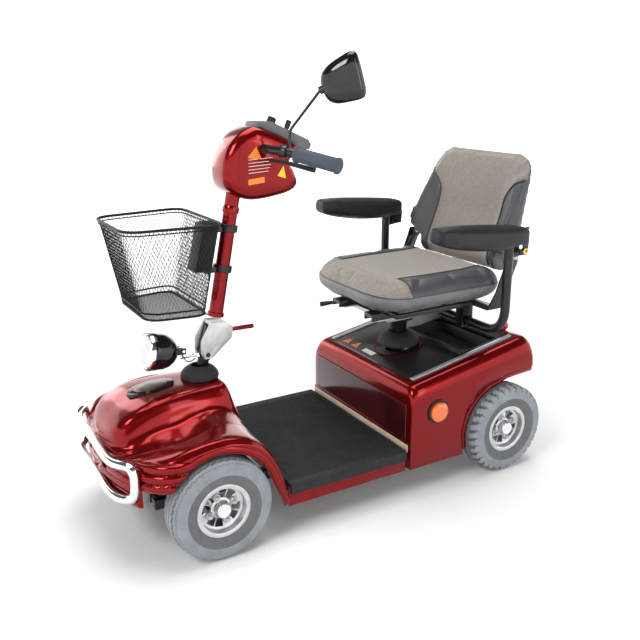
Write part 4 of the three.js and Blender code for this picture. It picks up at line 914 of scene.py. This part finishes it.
# ---------- armrests ----------
ARM_X = 286
ARM_POST_Y = 454
halves = [(-ARM_X, ARM_POST_Y, 674), (-ARM_X, ARM_POST_Y, 428), (ARM_X, ARM_POST_Y, 428), (ARM_X, ARM_POST_Y, 674)]
pieces = [tube("tube", rounded(halves, 78, 14), 13, MATERIALS["black_steel"], 28)]
for _, s in SIDES:
    pieces.append(prism("plate", [(448, 640), (502, 646), (506, 656), (504, 672), (448, 674)],
                        *sorted((s * (ARM_X - 3), s * (ARM_X + 3))), MATERIALS["black_steel"], 1.2))
ride(join("arm_tube_bent", pieces), "seat", ["arm_tube"])
for side, s in SIDES:
    x = s * ARM_X
    outline = [(202, 722), (214, 703), (300, 684), (394, 672), (470, 676), (500, 680), (503, 702), (498, 724),
               (440, 731), (330, 741), (222, 747), (205, 740)]
    outline = [(p.x, p.y) for p in spline([(y, z, 0) for y, z in outline], 3, True)]
    middle = (350, 712)
    rings = []
    for out, share in ((-29, 0.5), (-28.5, 0.75), (-25, 0.92), (-18, 1), (18, 1), (25, 0.92), (28.5, 0.75),
                       (29, 0.5)):
        shrink = 13 * (1 - share)
        rings.append([(x + out, y + (shrink if y < middle[0] else -shrink) * 0.9,
                       z + (shrink if z < middle[1] - (y - 350) * 0.08 else -shrink)) for y, z in outline])
    pad = loft(f"armrest_pad_{side}", rings, MATERIALS["pad_vinyl"])
    stuff(pad, 4, 3)
    pad = subdivide(pad, 1)
    ride(pad, f"arm_{side}", [f"armrest_{side}"], 60)
    ears = [prism("ear", [(478, 650), (504, 650), (507, 690), (442, 690), (472, 668)],
                  *sorted((x + d - 2.5, x + d + 2.5)), MATERIALS["black_steel"], 1.0) for d in (-17, 17)]
    ears.append(lathe("bolt", [(0, 10), (4, 10), (6, 8), (6, 5), (2, 4), (2, 0)], (x + s * 19.5, 492, 662),
                      (x + s * 60, 492, 662), GOLD, 6))
    ears.append(lathe("stop", [(0, 6), (7, 6), (8, 4), (8, 0)], (x + s * 19.5, 470, 676), (x + s * 60, 470, 676),
                      MATERIALS["chrome"], 24))
    ride(join(f"armrest_bracket_{side}", ears), f"arm_{side}")

# ---------- tiller head ----------
outline = [(-236, 840), (-180, 818), (-86, 828), (-52, 848), (-58, 880), (-72, 908), (-48, 932), (-64, 956),
           (-150, 994), (-190, 990), (-226, 964), (-250, 918), (-254, 870)]
outline = [(p.x, p.y) for p in spline([(y, z, 0) for y, z in outline], 5, True)]
centre_y, centre_z = -158, 905


def swollen(share):
    """The head's outline drawn in towards its middle, for the rounding towards the cheeks."""
    made = []
    for y, z in outline:
        away = Vector((y - centre_y, z - centre_z))
        keep = max(0.1, away.length - 30 * (1 - share)) / away.length
        made.append((centre_y + away.x * keep, centre_z + away.y * keep))
    return made


rings = []
for k in range(-8, 9):
    turn = math.pi / 2 * k / 8
    x = (24 * math.sin(turn)) + (28 if k > 0 else -28 if k < 0 else 0)
    share = math.cos(turn)
    rings.append([(x, y, z) for y, z in swollen(share)])
    if k == 0:
        rings[-1:] = [[(x_at, y, z) for y, z in swollen(1)] for x_at in (-28, 28)]
head = loft("head_shell", rings, RED)
ride(head, "tiller", ["head_cover"], 50)


def on_cheek(name, outline_yz, look, lift, thick=0.8, edge=0.0):
    rings = [[(52 + lift + k * thick, y, z) for y, z in outline_yz] for k in (0, 1)]
    piece = loft(name, rings, look)
    if edge:
        bevel(piece, edge, 3)
    return ride(piece, "tiller")


def frame_outline(grow):
    rough = [(-222 - grow, 872), (-214, 942 + grow), (-180, 966 + grow), (-96, 944 + grow), (-88 + grow, 918),
             (-108 + grow, 888 - grow), (-122, 852 - grow), (-200, 846 - grow)]
    return [(p.x, p.y) for p in spline([(y, z, 0) for y, z in rough], 5, True)]


on_cheek("cheek_panel", frame_outline(0), RED, -0.3, 1.2, 0.5)
on_cheek("cheek_triangle", [(-196, 924), (-172, 950), (-158, 918)], ORANGE, 1.1)
on_cheek("cheek_triangle_low", [(-116, 876), (-98, 900), (-92, 868)], YELLOW, 0.2)
on_cheek("cheek_label", [(-196, 858), (-152, 862), (-152, 876), (-196, 872)], ORANGE, 1.1)
for k in range(5):
    z = 886 + 8 * k
    on_cheek(f"cheek_line_{k}", [(-194, z), (-140 + 3 * k, z + 3), (-140 + 3 * k, z + 4.2), (-194, z + 1.2)], WHITE, 1.1, 0.3)

GRIP_IN, GRIP_OUT = Vector((134, -123, 939)), Vector((256, -60, 914))
for side, s in SIDES:
    def mirror(p, s=s):
        return Vector((p.x * s, p.y, p.z))
    a, b = mirror(GRIP_IN), mirror(GRIP_OUT)
    length = (b - a).length
    profile = [(length * 0.14, 12), (length * 0.14, 20.5), (length * 0.14 + 5, 20.5), (length * 0.14 + 7, 17.5)]
    at = length * 0.14 + 9
    while at < length - 12:
        profile += [(at, 17.4), (at + 1.2, 16.6), (at + 2.4, 16.6), (at + 3.6, 17.4)]
        at += 4.8
    profile += [(length - 9, 17.6), (length - 7, 19.6), (length - 2, 19.6), (length, 17), (length + 0.5, 6), (length, 0)]
    grip = lathe(f"grip_sleeve_{side}", profile, a, b, MATERIALS["grip_rubber"], 48)
    ride(grip, "tiller", [f"grip_{side}"], 50)

# ---------- mirror ----------
CENTRE = Vector((230, -34, 1108))
TURN = math.radians(50)
OUT = Vector((math.sin(TURN), -math.cos(TURN), 0))
ALONG = Vector((math.cos(TURN), math.sin(TURN), 0))
corners = [(-54, 2), (-48, 16), (-36, 29), (-12, 45), (8, 56), (18, 59), (27, 56), (33, 46), (41, 20), (51, -20),
           (51, -36), (42, -46), (14, -53), (-12, -57), (-28, -54), (-42, -42), (-52, -18)]
rim = [(p.x, p.y) for p in spline([(u, v, 0) for u, v in corners], 4, True)]
rings = []
for depth, share in ((-11, 0.9), (-12.5, 0.955), (-11, 0.99), (-6, 1), (0, 0.985), (6, 0.93), (11, 0.82), (15, 0.66),
                     (17.5, 0.45), (18.5, 0.22), (18.8, 0.02)):
    rings.append([CENTRE + ALONG * u * share + Vector((0, 0, v * share)) + OUT * depth for u, v in rim])
dish = loft("mirror_dish", rings, GLOSS_BLACK)
neck = tube("mirror_neck", [Vector((195, -76, 1080)), Vector((206, -64, 1088)), Vector((218, -50, 1098))],
            [9, 9, 12], GLOSS_BLACK, 24)
ride(join("mirror_housing", [dish, neck]), "mirror", ["mirror_shell"], 50)
glass = loft("mirror_glass", [[CENTRE + ALONG * u * 0.9 + Vector((0, 0, v * 0.9)) - OUT * d for u, v in rim]
                              for d in (11.5, 12.8)], MIRROR_GLASS)
ride(glass, "mirror")
stalk = spline([(127, -122, 956), (124, -117, 972), (119, -112, 990), (137, -104, 1012), (166, -90, 1046),
                (195, -76, 1080)], 6)
ride(tube("mirror_stalk_bent", stalk, 3.5, MATERIALS["black_steel"], 20), "mirror_arm",
     ["mirror_stalk"])

# ---------- tiller tube ----------
TUBE_LOW, TUBE_HIGH = Vector((0, -277, 524)), Vector((0, -220, 805))
long = (TUBE_HIGH - TUBE_LOW).length
profile = [(0, 0), (0, 20), (1.5, 21.5), (11, 21.5), (12.5, 18.5), (long * 0.93, 18.5), (long * 0.93 + 1, 21.5),
           (long * 0.975, 21.5), (long, 18.5), (long, 0)]
pieces = [lathe("tube", profile, TUBE_LOW, TUBE_HIGH, RED, 64)]
for t in (0.44, 0.8):
    middle = lean(TUBE_LOW, TUBE_HIGH, t)
    pieces.append(lathe("clamp", [(-9, 18), (-9, 23.5), (-8, 24.5), (8, 24.5), (9, 23.5), (9, 18)], middle,
                        middle + (TUBE_HIGH - TUBE_LOW), MATERIALS["black_steel"], 48))
    pieces.append(box("clamp_arm", (-12, 12), (middle.y - 44, middle.y - 16), (middle.z - 7, middle.z + 7),
                      MATERIALS["black_steel"], 1.5))
pieces.append(prism("hook_plate", [(-300, 640), (-296, 640), (-268, 770), (-272, 770)], -30, 30,
                    MATERIALS["black_steel"], 1.2))
pieces.append(lathe("neck", [(0, 16), (0, 18.5), (50, 18.5), (50, 16)], TUBE_HIGH, TUBE_HIGH * 2 - TUBE_LOW, RED, 48))
ride(join("tiller_tube_turned", pieces), "tiller", ["tiller_tube"])

# ---------- headlight ----------
LENS_AT, LIGHT_END = Vector((0, -466, 461)), Vector((0, -388, 449))
profile = [(9, 44), (7, 46.5), (11, 47.5), (20, 47.5), (24, 46.5), (40, 45.5), (54, 41), (66, 33), (74, 24), (78.5, 12),
           (79, 0)]
housing = lathe("headlight_bowl", profile, LENS_AT, LIGHT_END, GLOSS_BLACK, 64)
ears = [prism("ear", [(-394, 440), (-366, 438), (-364, 454), (-394, 460)], *sorted((s * 6.6, s * 9.6)),
              MATERIALS["black_steel"], 0.6) for _, s in SIDES]
ride(join("headlight_body", [housing] + ears), "headlight", ["headlight_housing"])
ride(lathe("headlight_bezel", [(3, 46), (0, 47.5), (1.5, 48.5), (9, 48.5), (10, 46.5)], LENS_AT, LIGHT_END,
           MATERIALS["chrome"], 64), "headlight")
reflector = lathe("headlight_reflector", [(8.5, 43), (9.5, 30), (9.8, 12), (9.9, 0)], LENS_AT, LIGHT_END,
                  REFLECTOR, 48)
ride(reflector, "headlight")
facets = [(0.4, 45.5), (-2, 43), (-5, 36), (-7, 26), (-8.2, 14), (-8.8, 0)]
lens = lathe("headlight_glass", [(8, 45.5)] + facets, LENS_AT, LIGHT_END, MATERIALS["clear_lens"], 28)
ride(lens, "headlight", ["headlight_lens"], 5)

# ---------- basket ----------
RIM_Z, FLOOR_Z = 788, 572


def basket_ring(z, front, rear, front_half, rear_half, radius, steps=8):
    corners = [(front_half, front), (rear_half, rear), (-rear_half, rear), (-front_half, front)]
    ring = []
    for c in range(4):
        here = Vector(corners[c])
        before = here + (Vector(corners[c - 1]) - here).normalized() * radius
        after = here + (Vector(corners[(c + 1) % 4]) - here).normalized() * radius
        for k in range(steps + 1):
            t = k / steps
            q = before.lerp(here, t).lerp(here.lerp(after, t), t)
            ring.append((q.x, q.y, z))
    return ring


def level(t):
    """The basket wall's ring at a share t of the height, from floor to rim."""
    low = basket_ring(FLOOR_Z, -491, -347, 109, 131, 40)
    high = basket_ring(RIM_Z, -533, -302, 121, 144, 46)
    return [Vector(a).lerp(Vector(b), t) for a, b in zip(low, high)]


def even(ring, count):
    """The ring walked at even steps."""
    spans = [(ring[(i + 1) % len(ring)] - ring[i]).length for i in range(len(ring))]
    total = sum(spans)
    made, i, gone = [], 0, 0.0
    for k in range(count):
        want = total * k / count
        while gone + spans[i] < want:
            gone += spans[i]
            i += 1
        made.append(ring[i].lerp(ring[(i + 1) % len(ring)], (want - gone) / max(spans[i], 1e-6)))
    return made


MESH_COLUMNS, MESH_ROWS = 92, 24
walls = [even(level(j / MESH_ROWS), MESH_COLUMNS * 2) for j in range(MESH_ROWS + 1)]
points = [walls[j][(2 * i + j % 2) % (MESH_COLUMNS * 2)] for j in range(MESH_ROWS + 1) for i in range(MESH_COLUMNS)]
faces = []
for j in range(0, MESH_ROWS - 1, 1):
    for i in range(MESH_COLUMNS):
        low = j * MESH_COLUMNS + i
        middle_row = (j + 1) * MESH_COLUMNS
        left = middle_row + ((i - 1) % MESH_COLUMNS if j % 2 == 0 else i)
        right = middle_row + (i if j % 2 == 0 else (i + 1) % MESH_COLUMNS)
        top = low + 2 * MESH_COLUMNS
        faces.append((low, right, top, left))
mesh_wall = new_object("basket_wall", points, faces, BASKET_BLACK)
floor_ring = level(0)
grid_points, grid_faces = [], []
STEP = 10
for j in range(-26, 27):
    for i in range(-26, 27):
        grid_points.append(((i - j) * STEP / 2, -418 + (i + j) * STEP / 2 * 1.1, FLOOR_Z + 1))
for j in range(52):
    for i in range(52):
        a = j * 53 + i
        centre = Vector(grid_points[a]).lerp(Vector(grid_points[a + 54]), 0.5)
        if -489 < centre.y < -349 and abs(centre.x) < 105 + (centre.y + 491) * 0.15:
            grid_faces.append((a, a + 1, a + 54, a + 53))
mesh_floor = new_object("basket_floor", grid_points, grid_faces, BASKET_BLACK)
for sheet_part, thick in ((mesh_wall, 1.5), (mesh_floor, 1.5)):
    wires = sheet_part.modifiers.new("wires", "WIREFRAME")
    wires.thickness = thick * MM
    wires.use_even_offset = False
    bake(sheet_part)
rim_line = [Vector(p) for p in basket_ring(RIM_Z - 3, -534, -301, 122, 145, 46)]
pieces = [mesh_wall, mesh_floor, tube("rim_wire", rim_line, 3.4, BASKET_BLACK, 14, True),
          tube("rim_wire_low", [p + Vector((0, 0, -9)) for p in rim_line], 1.6, BASKET_BLACK, 8, True),
          tube("floor_wire", floor_ring, 3.0, BASKET_BLACK, 12, True),
          tube("floor_wire_high", level(0.07), 2.2, BASKET_BLACK, 10, True)]
pieces.append(prism("hook", [(-336, 650), (-299.2, 650), (-273.8, 768), (-308, 768)], -28, 28,
                    BASKET_BLACK, 2))
ride(join("basket_mesh", pieces), "basket", ["basket"], 60)
# ---------- the rest of the CAD nodes, with their edges rounded ----------
BIG_EDGE = {"console": 2.5, "top_plate": 1.5, "battery_left": 3, "battery_right": 3, "tilt_bracket": 0.8,
            "headlight_bracket": 0.3, "headlight_cable": 0.3}
for node, owner in BODY_OF.items():
    if not nodes[node].hide_render:
        refine(node, SLOT_OF[node], BIG_EDGE.get(node, 0.8), 46)

# ---------- stage, lights and camera ----------
rings = []
for radius, height in ((0.01, 0), (3000, 0), (6000, 0), (7500, 120), (8600, 700), (9200, 1800), (9350, 4400)):
    rings.append([(radius * math.cos(t), radius * math.sin(t), height)
                  for t in (2 * math.pi * k / 96 for k in range(96))])
paper = material("studio_paper", (0.88, 0.88, 0.88), 0.8, mottle=(2, 0.01), grain=(30, 0.01))
glow = paper.node_tree.nodes.new("ShaderNodeMapRange")
reach = paper.node_tree.nodes.new("ShaderNodeVectorMath")
reach.operation = "LENGTH"
spot = paper.node_tree.nodes.new("ShaderNodeTexCoord")
glow.inputs["From Min"].default_value = 1.4
glow.inputs["From Max"].default_value = 3.4
glow.inputs["To Max"].default_value = 0.95
paper.node_tree.links.new(spot.outputs["Object"], reach.inputs[0])
paper.node_tree.links.new(reach.outputs["Value"], glow.inputs["Value"])
shader = paper.node_tree.nodes["Principled BSDF"]
shader.inputs["Emission Color"].default_value = (1, 1, 1, 1)
paper.node_tree.links.new(glow.outputs["Result"], shader.inputs["Emission Strength"])
floor = loft("studio_floor", rings, paper, caps=False)
floor.data.flip_normals()
floor.data.shade_smooth()

TARGET = Vector((0, 35.17, 461.81)) * MM
CAMERA_AT = Vector((1813.1, -1029.66, 1116.82)) * MM
lens_data = bpy.data.cameras.new("camera")
lens_data.lens = 44.42
camera = bpy.data.objects.new("camera", lens_data)
scene.collection.objects.link(camera)
camera.location = CAMERA_AT
turn = (TARGET - CAMERA_AT).to_track_quat("-Z", "Y").to_matrix().to_4x4()
camera.matrix_world = Matrix.Translation(CAMERA_AT) @ turn @ Matrix.Rotation(math.radians(-0.373), 4, "Z")
scene.camera = camera


def area_light(name, at, aim, size, power):
    data = bpy.data.lights.new(name, "AREA")
    data.shape = "RECTANGLE"
    data.size, data.size_y = size
    data.energy = power
    lamp = bpy.data.objects.new(name, data)
    scene.collection.objects.link(lamp)
    lamp.location = at
    lamp.rotation_euler = (Vector(aim) - Vector(at)).to_track_quat("-Z", "Y").to_euler()


area_light("key", (1.2, -2.6, 2.9), (0, -0.1, 0.4), (1.2, 0.9), 50)
area_light("side", (3.4, 1.6, 1.8), (0, 0.1, 0.4), (0.5, 2.0), 14)
area_light("top", (-0.3, 0.5, 4.2), (0, 0, 0), (2.8, 3.4), 150)
area_light("far", (-2.6, -0.8, 1.8), (0, 0, 0.6), (0.8, 2.0), 16)
world = bpy.data.worlds.new("studio")
world.use_nodes = True
world.node_tree.nodes["Background"].inputs["Color"].default_value = (0.95, 0.97, 1.0, 1)
world.node_tree.nodes["Background"].inputs["Strength"].default_value = 0.14
scene.world = world
scene.view_settings.view_transform = "Standard"
